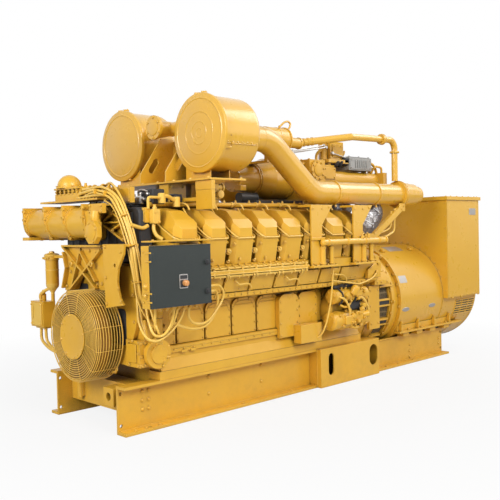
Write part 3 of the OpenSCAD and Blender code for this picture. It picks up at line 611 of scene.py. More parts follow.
def makeDamper():  # rings, bolts and marks that turn with the crankshaft
    rings = Heap()
    centre = onCrank(-64)
    for radius, wide in ((262, 10), (214, 5), (178, 4)):
        ridge = [(radius - wide, -2), (radius - wide + 2, 3), (radius + wide - 2, 3), (radius + wide, -2)]
        radii, heights = np.array(ridge).T
        a = np.linspace(0, 2 * math.pi, 72, endpoint=False)[None, :]
        order = [0, 3, 2, 1]
        rows = np.stack([radii[order][:, None] * np.cos(a), radii[order][:, None] * np.sin(a),
                         heights[order][:, None] + 0 * a], -1)
        rings.put(skin(rows, True), [centre], toFront)
    sunk = ringOf(centre, 238, 12, toFront, 0.2) + (4, 0, 0)
    rings.put(hexBolt, sunk, toFront, 7)
    rings.put(prism([(-9, -14), (9, -14), (4, 14), (-4, 14)], 5, 1), [(-62, 0, crankHeight + 196)], toFront)
    rings.piece("damper_rings", damperShadeBrown, body="damper")


makeGuard()
makeDamper()
print("guard and damper made")

# bolts of the skid, pan, block and covers

skidWeb = -370
railBolts = {"columns": (182, 230), "rows": (239, 181, 125), "size": 11,
             "pairs": [(732, 241), (732, 127), (1236, 249), (1236, 129), (3158, 149), (3158, 91), (3158, 38),
                       (3654, 148), (3654, 99)],
             "flange": [92, 172, 278, 1000, 1500, 2719, 2902, 3130]}


def makeSkidBolts():
    bolts = Heap()
    spots = [(x, skidWeb, z) for x in railBolts["columns"] for z in railBolts["rows"]]
    spots += [(x, skidWeb, z) for x, z in railBolts["pairs"]]
    bolts.put(domeBolt, *bothSides(spots), railBolts["size"])
    low = [(x, -424, 17.5) for x in railBolts["flange"]]
    bolts.put(hexBolt, mirrored(low), upward, 9)
    feet = [(x, -436, 288 + 16) for x in (3050, 3250, 3490, 3680)]
    bolts.put(hexBolt, mirrored(feet), upward, 13)
    feet = [(x, -425, 353) for x in (420, 1020, 1330, 2200)]
    bolts.put(hexBolt, mirrored(feet), upward, 14)
    bolts.piece("skid_bolts", castYellow)
    welds = Heap()
    bead = 4
    for s in bankSides:
        for run in ([(1770, -451, 299), (1770, -488, 299)], [(1771, -450, 3), (1771, -450, 297)],
                    [(2521, -450, 20), (2521, -450, 297)], [(12, -371, 18), (1760, -371, 18)],
                    [(2528, -371, 18), (3700, -371, 18)]):
            path = curve(spread(run[0], run[1], 24), 3) * (1, s, 1)
            welds.add(tube(path, bead + 0.8 * np.sin(np.arange(len(path)) * 1.9), 6))
    welds.piece("weld_beads", skidYellow)


coverBolts = {"doorCentres": 547 + 242 * np.arange(7), "doorFace": -419, "size": 6.5}


def makeBlockBolts():
    bolts = Heap()
    for x, half in [(342, 66), *((c, 104) for c in coverBolts["doorCentres"])]:
        spots = [(x + s * half, coverBolts["doorFace"], z) for s in (-1, 1) for z in (527, 580, 640, 690)]
        spots += [(x + s * half * 0.5, coverBolts["doorFace"], 751) for s in (-1, 1)]
        bolts.put(hexBolt, *bothSides(spots), coverBolts["size"])
    pan = [(x, -436, 481) for x in spread(314, 2310, 26)]
    bolts.put(hexBolt, *bothSides(pan), 6)
    ledge = [(x, -545, 801) for x in spread(290, 2290, 34)]
    bolts.put(hexBolt, *bothSides(ledge), 7)
    lean = np.array((0, -0.94, 0.34))
    plates = [(c + dx, y, z) for c in boreStations for dx in (-138, -12, 48)
              for y, z in ((-552, 845), (-586, 926))]
    bolts.put(hexBolt, *bothSides(plates, lean), 6)
    deck = [(x, -596, 1002) for x in spread(300, 1480, 21)]
    bolts.put(plainStud, mirrored(deck), upward, 7)
    side = [(x, -462.5, z) for x in (1362, 1542) for z in (452, 540, 630, 700)]
    side += [(x, -452.5, z) for x in (1578, 1766) for z in (515, 580, 650, 710)]
    bolts.put(hexBolt, side, toNear, 6.5)
    bolts.piece("block_bolts", castYellow)
    lines = Heap()
    for s in bankSides:
        for x in coverBolts["doorCentres"][:4 if s > 0 else 7]:
            arch = [(x - 92, -420, 706), (x - 84, -420, 724), (x - 52, -420, 738), (x, -420, 741),
                    (x + 52, -420, 738), (x + 84, -420, 724), (x + 92, -420, 706)]
            lines.add(tube(curve(arch, 4) * (1, s, 1), 3.2, 6))
            lines.add(tube(spread((x - 90, -421, 716), (x + 90, -421, 716), 5) * (1, s, 1), 2.6, 6))
    lines.piece("door_ridges", castYellow)
    pads = Heap()
    for x in (475, 551):
        pads.plate((46, 18, 5), 8, 2, *bothSides([(x, -434, 462)]))
    pads.plate((24, 24, 4), 8, 1.5, *bothSides([(740, -369, 246)]))
    pads.piece("pan_pads", castYellow)


makeSkidBolts()
makeBlockBolts()
print("skid and block bolts made")

# heads and valve covers

headFit = {"rim": 5.5, "half": 106, "front": -624, "slope": 0.528, "low": 1186, "gapBoss": 17, "nut": 8}


def makeHeadRims():  # sealing rim round each cover's foot: level across the front, then up along the lean
    rims = Heap()
    near, half = 76, headFit["half"]
    foot = [(-half, -300), (-half, -430), (-half, -560), (-half + 4, -592), (-near - 2, headFit["front"] + 3),
            (-near + 18, headFit["front"]), (0, headFit["front"]), (near - 18, headFit["front"]),
            (near + 2, headFit["front"] + 3), (half - 4, -592), (half, -560), (half, -430), (half, -300)]
    local = np.array([(x, y, headFit["low"] + headFit["slope"] * (y + 618)) for x, y in foot])
    path = curve(local, 4)
    for s in bankSides:
        for c in boreStations:
            rims.add(tube((path + (c, 0, 0)) * (1, s, 1), headFit["rim"], 8))
    rims.piece("cover_rims", trimYellow)
    bolts = Heap()
    spots = []
    for c in boreStations:
        spots += [(c - 36, -596, 1043), (c - 92, -609, 1145)]
    bolts.put(hexBolt, *bothSides(spots, (0, -1, 0.1)), headFit["nut"])
    tops = [(c + dx, y, 1392) for c in boreStations for dx in (-20, 20) for y in (-330, -280)]
    bolts.put(hexBolt, mirrored(tops), upward, 7)
    bolts.piece("head_bolts", castYellow)


def makeGapParts():  # what sits between the heads: bosses, risers with elbows, and short pipes
    parts = Heap()
    boss = join(lathe([(1.25, 0), (1.25, 0.3), (1, 0.35), (1, 1.2), (0.75, 1.45)], 16),
                shifted(lathe([(0.5, 1.3), (0.5, 1.9), (0.35, 2.0)], 6), (0, 0, 0)))
    gaps = boreStations[:-1] + borePitch / 2
    spots = [(g - 2, -574, 1094) for g in gaps]
    parts.put(boss, *bothSides(spots, (-0.25, -1, 0.3)), headFit["gapBoss"])
    spots = [(g, -560, 1022) for g in gaps]
    parts.put(fitting, *bothSides(spots, (0, -0.8, 0.6)), 13)
    for s in bankSides:
        for g in gaps:
            riser = [(g + 44, -626, 1188), (g + 26, -622, 1198), (g + 6, -602, 1222), (g - 8, -560, 1262),
                     (g - 16, -490, 1320), (g - 14, -430, 1384)]
            parts.add(tube(curve(riser, 5) * (1, s, 1), 5.5, 8))
            link = [(g - 20, -380, 1398), (g - 8, -420, 1416), (g + 12, -440, 1404), (g + 22, -452, 1372)]
            parts.add(tube(curve(link, 5) * (1, s, 1), 7, 8))
    parts.piece("gap_fittings", trimYellow)
    caps = Heap()
    spots = [(g, y, z) for g in gaps for y, z in ((-500, 1205), (-548, 1150))]
    caps.turned([(1, 0), (1, 1.6), (0.7, 2.0)], 12, *bothSides(spots, (0.1, -1, 0.5)), 12)
    caps.piece("gap_caps", castYellow)


def makeRail():  # bundle of small pipes along the bank, tied at every half pitch, with stubs
    rail = Heap()
    for s in bankSides:
        for y, z, r, first, last in ((-612, 986, 8, 296, 1500), (-618, 936, 8.5, 300, 1480),
                                     (-628, 972, 5, 300, 1440), (-630, 951, 5, 330, 1500)):
            ends = [(first, y + 22, z), (first + 20, y, z),
                    *((x, y, z) for x in spread(first + 80, last - 80, 9)),
                    (last - 20, y, z), (last, y + 22, z)]
            rail.add(tube(bent(ends, 18) * (1, s, 1), r, 8))
        for c in boreStations[:5] + 60:
            stub = [(c, -620, 950), (c, -634, 932), (c + 6, -612, 905), (c + 6, -590, 896)]
            rail.add(tube(curve(stub, 5) * (1, s, 1), 5, 8))
    ties = [(x, -601, 961) for x in spread(330, 1470, 10)]
    rail.plate((17, 72, 6), 30, 3, *bothSides(ties))
    nuts = [(x, -631, z) for x in spread(330, 1470, 10) for z in (934, 988)]
    rail.put(hexBolt, *bothSides(nuts), 6)
    unions = [(x, -620, 990) for x in spread(372, 1440, 17)]
    rail.put(fitting, mirrored(unions), upward, 6.5)
    drops = [(x, -620, 930) for x in spread(384, 1400, 13)]
    rail.put(fitting, mirrored(drops), downward, 6)
    rail.piece("bank_pipes", trimYellow)
    hooks = Heap()
    for s in bankSides:
        for x in (806, 1292):
            hook = [(x, -566, 905), (x + 2, -592, 892), (x + 20, -600, 874), (x + 60, -600, 876),
                    (x + 108, -598, 874), (x + 134, -590, 850), (x + 142, -566, 826)]
            hooks.add(tube(curve(hook, 6) * (1, s, 1), 6.5, 8))
            hooks.put(fitting, [(x, -570 * s, 905)], (0, -s, 0), 9)
    hooks.piece("hook_pipes", trimYellow)


makeHeadRims()
makeGapParts()
makeRail()
print("bank details made")

# hoses

hoseRuns = {
    "front_hoses": [(12, [(80, 150, 1470), (72, 40, 1474), (62, -81, 1478), (52, -219, 1470),
                          (50, -299, 1442), (52, -349, 1390), (58, -390, 1316), (66, -432, 1215),
                          (70, -462, 1118), (74, -482, 1000), (80, -500, 880), (70, -532, 760),
                          (62, -572, 660), (72, -604, 600), (128, -620, 598), (190, -632, 634),
                          (222, -660, 700), (236, -690, 796)]),
                    (13, [(80, 120, 1500), (70, -40, 1512), (60, -160, 1500), (56, -262, 1482),
                          (54, -330, 1440), (56, -372, 1380), (62, -420, 1300), (70, -456, 1200),
                          (76, -486, 1090), (80, -506, 960), (90, -520, 840), (120, -520, 740),
                          (180, -500, 660)]),
                    (9, [(84, 60, 1484), (60, -60, 1496), (44, -180, 1480), (40, -280, 1456),
                         (38, -340, 1408), (44, -386, 1340), (54, -424, 1246), (62, -456, 1140),
                         (66, -478, 1010), (72, -496, 900), (60, -520, 800), (40, -560, 700), (52, -610, 618),
                         (110, -640, 590), (196, -650, 628), (270, -660, 700), (292, -690, 796)]),
                    (10, [(90, -60, 1530), (80, -140, 1522), (70, -240, 1500), (66, -320, 1462),
                          (66, -372, 1410), (74, -412, 1320), (84, -446, 1220), (92, -474, 1100),
                          (96, -494, 980), (110, -520, 860), (120, -560, 790), (110, -620, 700),
                          (122, -640, 640), (160, -600, 590), (200, -560, 560)]),
                    (11, [(100, -650, 797), (100, -640, 740), (106, -630, 690), (124, -610, 630),
                          (160, -570, 592), (205, -530, 560)]),
                    (11, [(84, 90, 1524), (74, -30, 1526), (64, -150, 1528), (58, -260, 1500),
                          (60, -330, 1462), (66, -380, 1402), (74, -424, 1306), (84, -456, 1206),
                          (94, -488, 1096), (100, -510, 990), (104, -530, 880), (96, -560, 780),
                          (86, -600, 690), (96, -634, 628), (150, -650, 622), (196, -664, 680),
                          (214, -688, 796)]),
                    (8, [(60, -200, 1440), (48, -300, 1400), (46, -360, 1330), (52, -400, 1240),
                         (58, -440, 1130), (62, -470, 1020), (66, -490, 930), (64, -510, 850),
                         (76, -540, 770), (116, -560, 700), (170, -560, 640), (200, -540, 600)]),
                    (9, [(150, -60, 1540), (130, -150, 1556), (100, -230, 1540), (84, -300, 1502),
                         (80, -360, 1440), (86, -410, 1350), (96, -446, 1250), (104, -470, 1150),
                         (110, -500, 1040), (120, -520, 940)])],
    "panel_hoses": [(11, [(196, -690, 797), (206, -660, 752), (226, -622, 720), (266, -606, 682),
                          (337, -602, 647), (413, -602, 627), (491, -602, 627), (552, -602, 653),
                          (602, -602, 708), (628, -602, 770), (619, -608, 822), (586, -630, 850),
                          (530, -670, 858), (452, -692, 852)]),
                    (10, [(326, -690, 797), (330, -672, 760), (352, -644, 706), (410, -620, 664),
                          (486, -616, 652), (548, -616, 676), (600, -616, 724), (650, -616, 780),
                          (666, -616, 830), (640, -620, 872), (595, -636, 888), (530, -672, 892),
                          (452, -692, 888)])],
    "starter_hoses": [(6.5, [(1786, -602, 944), (1782, -616, 919), (1772, -616, 822), (1756, -608, 677),
                             (1733, -596, 560), (1714, -580, 480), (1700, -556, 430), (1690, -530, 410)]),
                      (6.5, [(1781, -614, 836), (1850, -618, 826), (1983, -618, 807), (2080, -618, 792),
                             (2145, -618, 796), (2230, -612, 812), (2294, -604, 825), (2372, -580, 852)]),
                      (6, [(1800, -560, 892), (1847, -590, 878), (1920, -596, 872), (1958, -596, 850),
                           (1976, -590, 808), (1980, -570, 760)]),
                      (9, [(1860, -560, 712), (1870, -604, 704), (1906, -622, 684), (1938, -626, 648),
                           (1962, -626, 600), (1968, -622, 560), (1960, -606, 510), (1950, -580, 470)]),
                      (10, [(2088, -560, 712), (2110, -600, 690), (2150, -616, 672), (2186, -618, 630),
                            (2214, -616, 586), (2218, -606, 548), (2206, -570, 505)]),
                      (7, [(2244, -540, 700), (2262, -560, 690), (2290, -560, 640), (2300, -545, 580),
                           (2270, -530, 520)])],
    "stay_pipe": [(9, [(2744, -520, 1384), (2746, -512, 1290), (2742, -506, 1200), (2690, -506, 1172),
                        (2623, -506, 1152), (2520, -508, 1140), (2440, -520, 1134)]),
                  (7, [(2700, -512, 1362), (2704, -508, 1290), (2694, -504, 1230), (2640, -504, 1204),
                       (2540, -506, 1182), (2470, -520, 1160)])],
}


hoseScale = {"front_hoses": 0.76, "panel_hoses": 0.85}


def makeHoses():
    for name, runs in hoseRuns.items():
        heap = Heap()
        for radius, points in runs:
            path = curve(points, 6)
            radius = radius * hoseScale.get(name, 1.0)
            heap.add(tube(path, radius, 12))
            ends = [(path[0], path[1] - path[0]), (path[-1], path[-2] - path[-1])]
            for place, way in ends:
                collar = lathe([(1.35, -0.4), (1.35, 1.3), (1.15, 1.5), (1.15, 3.0)], 12)
                heap.put(collar, [place], way, radius)
            if name in ("starter_hoses", "stay_pipe"):
                far = tube(path * (1, -1, 1), radius, 12)
                heap.add(far)
        heap.piece(name, trimYellow)
    clips = Heap()
    band = prism(roundRect(34, 84, 12), 8, 2)
    for place, way in (((58, -388, 1330), (-0.1, 0.35, 1)), ((68, -460, 1150), (-0.1, 0.25, 1)),
                       ((78, -500, 930), (-0.1, 0.15, 1))):
        clips.put(band, [place], way, up=toFar)
    for place in ((58, -120, 1500), (52, -240, 1484)):
        clips.plate((56, 34, 10), 8, 2, [place], toFar)
    clips.piece("hose_clips", castYellow)


makeHoses()
print("hoses made")

# front of the engine

frontEnd = {"flangeStations": (-49, 198, 449, 743), "bolt": 8}


def makeFrontEnd():
    heap = Heap()
    for y in frontEnd["flangeStations"]:
        rim = [(-12, y, 1398), (-12, y, 1340), (6, y, 1262), (36, y, 1206), (120, y, 1200), (190, y, 1200)]
        for s, off in ((1, 9), (-1, -9)):
            heap.put(hexBolt, np.array(rim) + (0, off, 0), (0, s, 0), frontEnd["bolt"])
    heap.turned([(88, 0), (88, 6), (70, 9), (40, 10), (8, 11)], 48, [(100, 748, 1308)], toFar)
    heap.boltRing((100, 754, 1308), 76, 8, toFar, 8)
    corners = ringOf((-53, -206, 1241), 60, 8, toFront, math.pi / 8)
    heap.put(hexBolt, corners[::2], toFront, 8)
    heap.turned([(52, 0), (52, 3), (46, 5), (12, 5.5)], 32, [(-52, -206, 1241)], toFront)
    neck = curve([(-6, -206, 1290), (-20, -204, 1330), (-10, -200, 1366)], 5)
    heap.add(tube(neck, [30, 30, 29, 29, 29, 29, 29, 30, 31, 32, 33], 16))
    heap.put(hexBolt, [(-3, y, z) for y in (-250, -122) for z in (1372, 1408)], toFront, 8)
    heap.boltRing((125, 338, 1558), 86, 10, upward, 6)
    heap.put(hexBolt, [(59, y, 1520) for y in spread(176, 404, 5)], toFront, 6)
    heap.put(hexBolt, [(70, y, 1462) for y in spread(-96, 110, 6)], upward, 7)
    heap.put(fitting, [(190, y, 1513) for y in (-170, -110, -60, 18, 85)], upward, 15)
    heap.put(fitting, [(150, 170, 1547), (230, 400, 1547)], upward, 14)
    for y in (-150, -60, 40, 100):
        loop = [(160, y, 1516), (150, y - 8, 1540), (120, y - 26, 1546), (90, y - 44, 1528),
                (80, y - 60, 1500)]
        heap.pipe(loop, 5, 8, 8)
    joints = [(86, y, z) for y, z in ((-128, 1408), (-318, 1412), (-350, 1192), (-96, 1302), (-224, 1358),
                                      (-238, 1250))]
    heap.put(hexBolt, joints, toFront, 9)
    heap.turned([(1, 0), (1, 0.6), (0.8, 0.75), (0.5, 0.75), (0.45, 0.4), (0.2, 0.4)], 20,
                [(41, 191, 1034), (41, -62, 1039)], toFront, 20)
    feet = [(72, y, z) for y, z in ((-120, 912), (-126, 1120), (235, 905), (316, 880), (300, 1120),
                                    (316, 1050), (262, 980), (-70, 905), (20, 1120))]
    heap.put(hexBolt, feet, toFront, 9)
    sides = [(4, y, z) for y, z in ((-272, 1150), (-272, 960), (-276, 800), (-430, 820), (-404, 900),
                                    (-440, 1120))]
    heap.put(hexBolt, sides, toFront, 8)
    case = [(129, y, z) for y in (-418, 418) for z in spread(780, 1020, 6)]
    case += [(129, y, z) for y, z in ((-380, 680), (380, 680), (-300, 460), (300, 460), (250, 800),
                                      (250, 720))]
    heap.put(hexBolt, case, toFront, 8)
    heap.put(hexBolt, [(115, y, z) for y in (-394, -256) for z in (850, 933, 1016)], toFront, 7)
    heap.piece("front_bolts", castYellow)


def makeSender():
    heap = Heap()
    head = (120, 605, 1090)
    heap.turned([(52, -14), (54, -10), (54, -2), (44, 6), (20, 12), (18, 22), (6, 24)], 32, [head], upward)
    for place in ((84, 580, 1066), (78, 612, 1066), (100, 640, 1066)):
        heap.put(fitting, [place], (-1, 0.1, 0), 13)
    heap.add(*clampBand((120, 605, 980), 46, 10, 2, upward, toRear)[:1])
    heap.turned([(14, -64), (30, -40), (44, -24), (47, 0)], 24, [(120, 605, 884)], upward)
    heap.put(fitting, [(120, 605, 820)], downward, 15)
    heap.plate((86, 12, 2), 150, 1.5, [(146, 640, 900)], upward)
    lid = prism(roundRect(150, 166, 10), 9, 2)
    heap.put(lid, [(60, 735, 660)], toFront)
    heap.plate((26, 96, 8), 6, 2, [(51, 786, 674)], toFront)
    heap.put(hexBolt, [(51, y, z) for y in (672, 798) for z in (592, 728)], toFront, 7)
    heap.plate((62, 126, 8), 16, 2, [(110, 734, 570)], downward)
    heap.put(fitting, [(102, 756, 556), (102, 690, 556)], downward, 14)
    for points in ([(102, 756, 550), (102, 756, 478), (104, 716, 440), (108, 617, 403), (118, 450, 385),
                    (130, 340, 410), (136, 290, 430)],
                   [(102, 690, 550), (102, 682, 478), (104, 650, 444), (110, 600, 416), (120, 440, 402),
                    (132, 330, 424), (138, 286, 444)]):
        heap.pipe(points, 6, 11, 10)
    heap.pipe([(96, 735, 752), (92, 730, 800), (110, 660, 840), (120, 605, 850)], 6, 12, 10)
    heap.put(fitting, [(115, 735, 800)], upward, 16)
    heap.piece("sender_fittings", trimYellow)
    boxes = Heap()
    boxes.plate((140, 88, 5), 5, 1.5, [(150, -271, 1471)], toFront)
    boxes.plate((140, 84, 5), 5, 1.5, [(185, -372, 1342)], toFront)
    boxes.put(hexBolt, [(145, y, z) for y in (-334, -208) for z in (1434, 1508)], toFront, 5)
    boxes.put(hexBolt, [(180, y, z) for y in (-434, -310) for z in (1307, 1377)], toFront, 5)
    boxes.put(fitting, [(205, -400, 1294), (205, -340, 1294)], downward, 11)
    boxes.piece("junction_lids", sheetYellow)


def makePump():
    heap = Heap()
    heap.put(hexBolt, [(x, -486, z) for x, z in ((268, 453), (272, 434), (271, 400), (266, 510))], toNear, 8)
    heap.put(hexBolt, [(x, -443, z) for x in (134, 160) for z in (414, 470, 552)], toNear, 8)
    heap.put(hexBolt, [(119, y, z) for y, z in ((-330, 556), (-372, 562), (-430, 556), (-336, 414),
                                                (-430, 414), (-430, 490))], toFront, 8)
    heap.plate((96, 116, 10), 8, 2, [(119, -368, 488)], toFront)
    elbow = curve([(262, -440, 640), (262, -446, 700), (250, -470, 742), (226, -500, 760), (206, -520, 752)],
                  6)
    heap.add(tube(elbow, 30, 18))
    heap.turned([(40, -6), (40, 6)], 24, [(262, -440, 690)], upward)
    heap.turned([(38, -8), (38, 10), (30, 14)], 24, [(208, -518, 754)], (-0.7, -0.7, -0.2))
    heap.put(fitting, [(300, -482, 452), (306, -470, 520)], (1, -0.5, 0), 11)
    heap.put(fitting, [(318, -430, 640), (310, -430, 600)], toNear, 12)
    drop = curve([(160, -452, 690), (150, -470, 660), (150, -480, 620), (166, -470, 580)], 6)
    heap.add(tube(drop, 14, 12))
    case = [(130 - 1, y, z) for y, z in ((-180, 520), (-150, 620), (180, 520), (150, 640), (0, 720))]
    heap.put(hexBolt, case, toFront, 9)
    nose = [(100, y, z) for y, z in ((-150, 340), (-210, 356), (150, 340))]
    heap.put(fitting, nose, toFront, 14)
    heap.piece("pump_fittings", castYellow)


core = {"x": (150, 246), "half": 438, "low": 1045, "high": 1392}


def makeCore():
    # dark block and harness boxes behind the truss, and dark plates on the case beside the guard; the block
    # and the case plates are painted shade, black pieces set where only shade shows
    heap = Heap()
    depth = core["x"][1] - core["x"][0]
    middle = (core["low"] + core["high"]) / 2
    tall = core["high"] - core["low"]
    heap.plate((2 * core["half"], tall, 40), depth, 8, [(core["x"][1], 0, middle)], toFront)
    for y in spread(-360, 360, 9):
        heap.plate((18, tall - 60, 5), 10, 3, [(core["x"][0] + 2, y, middle)], toFront)
    heap.plate((100, 230, 30), 4, 1.2, [(130, -246, 640)], toFront)
    heap.plate((290, 56, 20), 4, 1.2, [(130, 284, 870)], toFront)
    for s in bankSides:
        heap.plate((170, 96, 10), 96, 5, [(396, -292 * s, 1462)], toFront)
        heap.plate((120, 60, 10), 60, 5, [(560, -292 * s, 1452)], toFront)
    heap.piece("engine_core", blackRubberAndShade)
    bits = Heap()
    for s in bankSides:
        for y, z, r in ((-226, 1452, 13), (-262, 1484, 10), (-300, 1446, 14), (-338, 1478, 11),
                        (-352, 1440, 9)):
            bits.turned([(0.5, 0), (1, 0.1), (1, 1.6), (0.7, 1.9), (0.3, 2.1)], 16, [(300, y * s, z)],
                        toFront, r)
        bits.pipe([(296, -226 * s, 1470), (280, -250 * s, 1500), (282, -290 * s, 1508),
                   (296, -330 * s, 1494)], 6, 5, 8)
    bits.piece("core_plugs", zinc)


makeFrontEnd()
makeSender()
makePump()
makeCore()
print("front end made")

# control panel

panel = {"door": -747, "middle": (226, 975.5), "back": -660, "latches": (1048, 870),
         "rails": (1080, 960, 860),
         "relays": ((1080, spread(60, 380, 9), (30, 74, 3), 34, 2),
                    (860, spread(50, 400, 22), (13, 44, 1.5), 26, 1),
                    (960, (90, 190, 330), (70, 62, 4), 38, 3)),
         "wires": (("panel_wires_red", wireRed, 0), ("panel_wires_blue", wireBlue, 7),
                   ("panel_wires_white", wireWhite, 13))}


def makePanel():
    door, back = panel["door"], panel["back"]
    middleX, middleZ = panel["middle"]
    black = Heap()
    for z in panel["latches"]:
        black.plate((26, 30, 4), 13, 2.5, [(417, door, z)], toNear)
        black.put(prism([(-9, -8), (9, -8), (9, 4), (-9, 10)], 8, 1.5), [(417, door - 12, z)], toNear)
    black.piece("door_latches", blackRubberAndShade, body="door", slot="door_paint")
    base = Heap()
    base.plate((64, 84, 6), 2.4, 0.6, [(236, door, 941)], toNear)
    base.piece("switch_plate", plateMetal, body="door")
    face = Heap()
    face.plate((54, 44, 4), 1.8, 0.5, [(236, door - 2, 927)], toNear)
    face.plate((54, 22, 4), 1.4, 0.4, [(236, door - 2, 966)], toNear)
    face.piece("switch_face", blackRubberAndShade, body="door")
    grip = Heap()
    ribs = np.linspace(0, 2 * math.pi, 48, endpoint=False)
    edge = 17.6 + 0.9 * np.cos(ribs * 12)
    grip.put(prism(np.stack([edge * np.cos(ribs), edge * np.sin(ribs)], 1), 22, 2), [(242, door - 2, 931)],
             toNear)
    grip.turned([(14.5, 0), (14, 3), (11, 5), (3, 5.6)], 32, [(242, door - 23, 931)], toNear)
    grip.plate((5, 30, 2), 4, 1, [(242, door - 26, 931)], toNear)
    grip.piece("knob_grip", knobCopper, body="knob", slot="knob_plastic")
    seal = Heap()
    loop = roundRect(440, 350, 12, 5)
    rope = [(middleX + x, -730, middleZ + y) for x, y in (*loop, loop[0])]
    seal.add(tube(rope, 3.2, 6))
    seal.piece("door_seal", blackRubberAndShade)
    plate = Heap()
    plate.plate((428, 338, 8), 5, 1, [(middleX, back, middleZ)], toNear)
    for z in panel["rails"]:
        plate.plate((400, 34, 2), 6, 1, [(middleX, back - 5, z)], toNear)
    plate.piece("panel_plate", plateMetal)
    gear = Heap()
    for z, row, outline, depth, bevel in panel["relays"]:
        gear.plate(outline, depth, bevel, [(x, back - 10, z) for x in row], toNear)
    gear.piece("panel_relays", boxGrey)
    for name, finish, drift in panel["wires"]:
        wires = Heap()
        for k, x in enumerate(spread(54 + drift, 380 + drift, 9)):
            sag = 8 * math.sin(k * 1.7 + drift)
            wires.pipe([(x, -690, 884), (x + 4, -712, 896), (x + sag, -716, 912 + sag), (x + 9, -706, 1000),
                        (x + 5, -708, 1030), (x + 2, -694, 1044)], 5, 1.6, 6)
        wires.piece(name, finish)
    glands = Heap()
    gland = join(lathe([(1.5, 0), (1.5, 0.35)], 16), lathe([(1.2, 0.3), (1.2, 1.4)], 6),
                 lathe([(0.9, 1.3), (0.85, 1.9), (0.6, 2.0)], 12))
    glands.put(gland, [(x, -690, 794) for x in (100, 150, 196, 236, 292, 326, 372)], downward, 12)
    glands.put(gland, [(452, -692, z) for z in (852, 888)], toRear, 12)
    glands.put(domeBolt, [(0, -692, 922), (0, -692, 868)], toFront, 15)
    glands.put(hexBolt, [(-0.5, -675, z) for z in (1120, 830)], toFront, 5)
    glands.put(hexBolt, [(x, -690, 1186) for x in (60, 220, 380, 480)], upward, 7)
    glands.plate((90, 70, 6), 12, 2, [(262, -664, 1166)], upward)
    glands.piece("panel_glands", sheetYellow)
    strip = Heap()
    strip.plate((450, 3.5, 1), 3, 0.8, [(227, door, 1155)], toNear)
    strip.piece("door_edge", doorGrey, body="door")


makePanel()
print("control panel made")

# air intake and the top of the engine

drum = {"front": 635, "y": 450, "z": 1880, "length": 345, "seam": math.asin(-78 / 250),
        "buckles": (1.45, 1.72, 4.4), "studs": (1.1, 1.25, -0.15)}


def drumFace(rings):  # flat cover pressed with round beads: the height rises as a raised cosine at each bead
    radius = np.unique(np.concatenate([[4, 236, 242, 246],
                                       *[r + np.linspace(-w, w, 9) for r, w, h in rings]]))
    height = sum(h * 0.5 * (1 + np.cos(np.pi * np.clip((radius - r) / w, -1, 1))) for r, w, h in rings)
    height = height + 1.5 + np.where(radius > 240, -1.0, 0)
    rows = np.column_stack([radius, height])[::-1]
    return lathe([(247, -2), *map(tuple, rows)], 96)


def makeDrums():
    heap = Heap()
    centre = (drum["front"], -drum["y"], drum["z"])
    heap.put(drumFace([(30, 8, 4), (74, 8, 4.5), (138, 9, 4.5), (226, 10, 6)]), [centre], toFront)
    heap.put(drumFace([(226, 10, 6)]), [np.array(centre) * (1, -1, 1)], toFront)
    for s in bankSides:
        centre = np.array((drum["front"], -drum["y"] * s, drum["z"]))
        rim = lathe([(252, -4), (261, -1), (263, 4), (261, 25), (255, 29)], 96)
        heap.put(rim, [centre], toRear)
        low = drum["seam"]
        out = radial(low, s)
        rivets = [centre + (x, 0, 0) + 249 * out for x in spread(38, drum["length"] - 52, 7)]
        heap.put(domeBolt, rivets, out, 6.5)
        lower = radial(low - 0.14, s)
        heap.plate((54, 16, 5), 13, 3, [centre + (46, 0, 0) + 247 * lower], lower, up=upward)
        for turn in drum["buckles"]:
            out = radial(turn, s)
            heap.plate((20, 42, 5), 14, 2, [centre + (24, 0, 0) + 258 * out], out, up=toRear)
            heap.put(hexBolt, [centre + (34, 0, 0) + 271 * out], out, 6)
        for turn in drum["studs"]:
            out = radial(turn, s)
            heap.put(domeBolt, [centre + (60, 0, 0) + 249 * out], out, 5)
        out = radial(low, s)
        seam = [centre + (x, 0, 0) + 250 * out for x in spread(32, drum["length"] - 46, 12)]
        heap.add(tube(np.array(seam) + (0, 0, -9), 3, 6))
        heap.put(fitting, [centre + (70, 0, 0) + 240 * np.array((0, -s * 0.99, -0.36))], (0.2, -s, -0.3), 9)
        heap.add(*clampBand(centre + (drum["length"] + 22, 0, 0), 90, 18, 3, toRear, upward))
    heap.piece("drum_details", glossYellow)


topPipes = {"crossover": (580, -20, 1960), "intake": (450, 1512), "clamps": (1992, 2527), "flange": 2890,
            "end": 3198, "nozzle": ((3001, 101), (3092, 95), (3182, 73)), "coneFront": (1332, 0, 1625),
            "cone": ((1546, 1632, 128), (1850, 1643, 165)), "breather": (-285, 1915),
            "hose": ((1805, -285, 1909), (439, -165, 61)), "hoseBands": (1800, 1836, 1872, 1908),
            "bail": [(1560, 1994), (1590, 2024), (1632, 2054), (1672, 2064), (1697, 2050), (1692, 2022),
                     (1662, 1996), (1648, 1978)]}


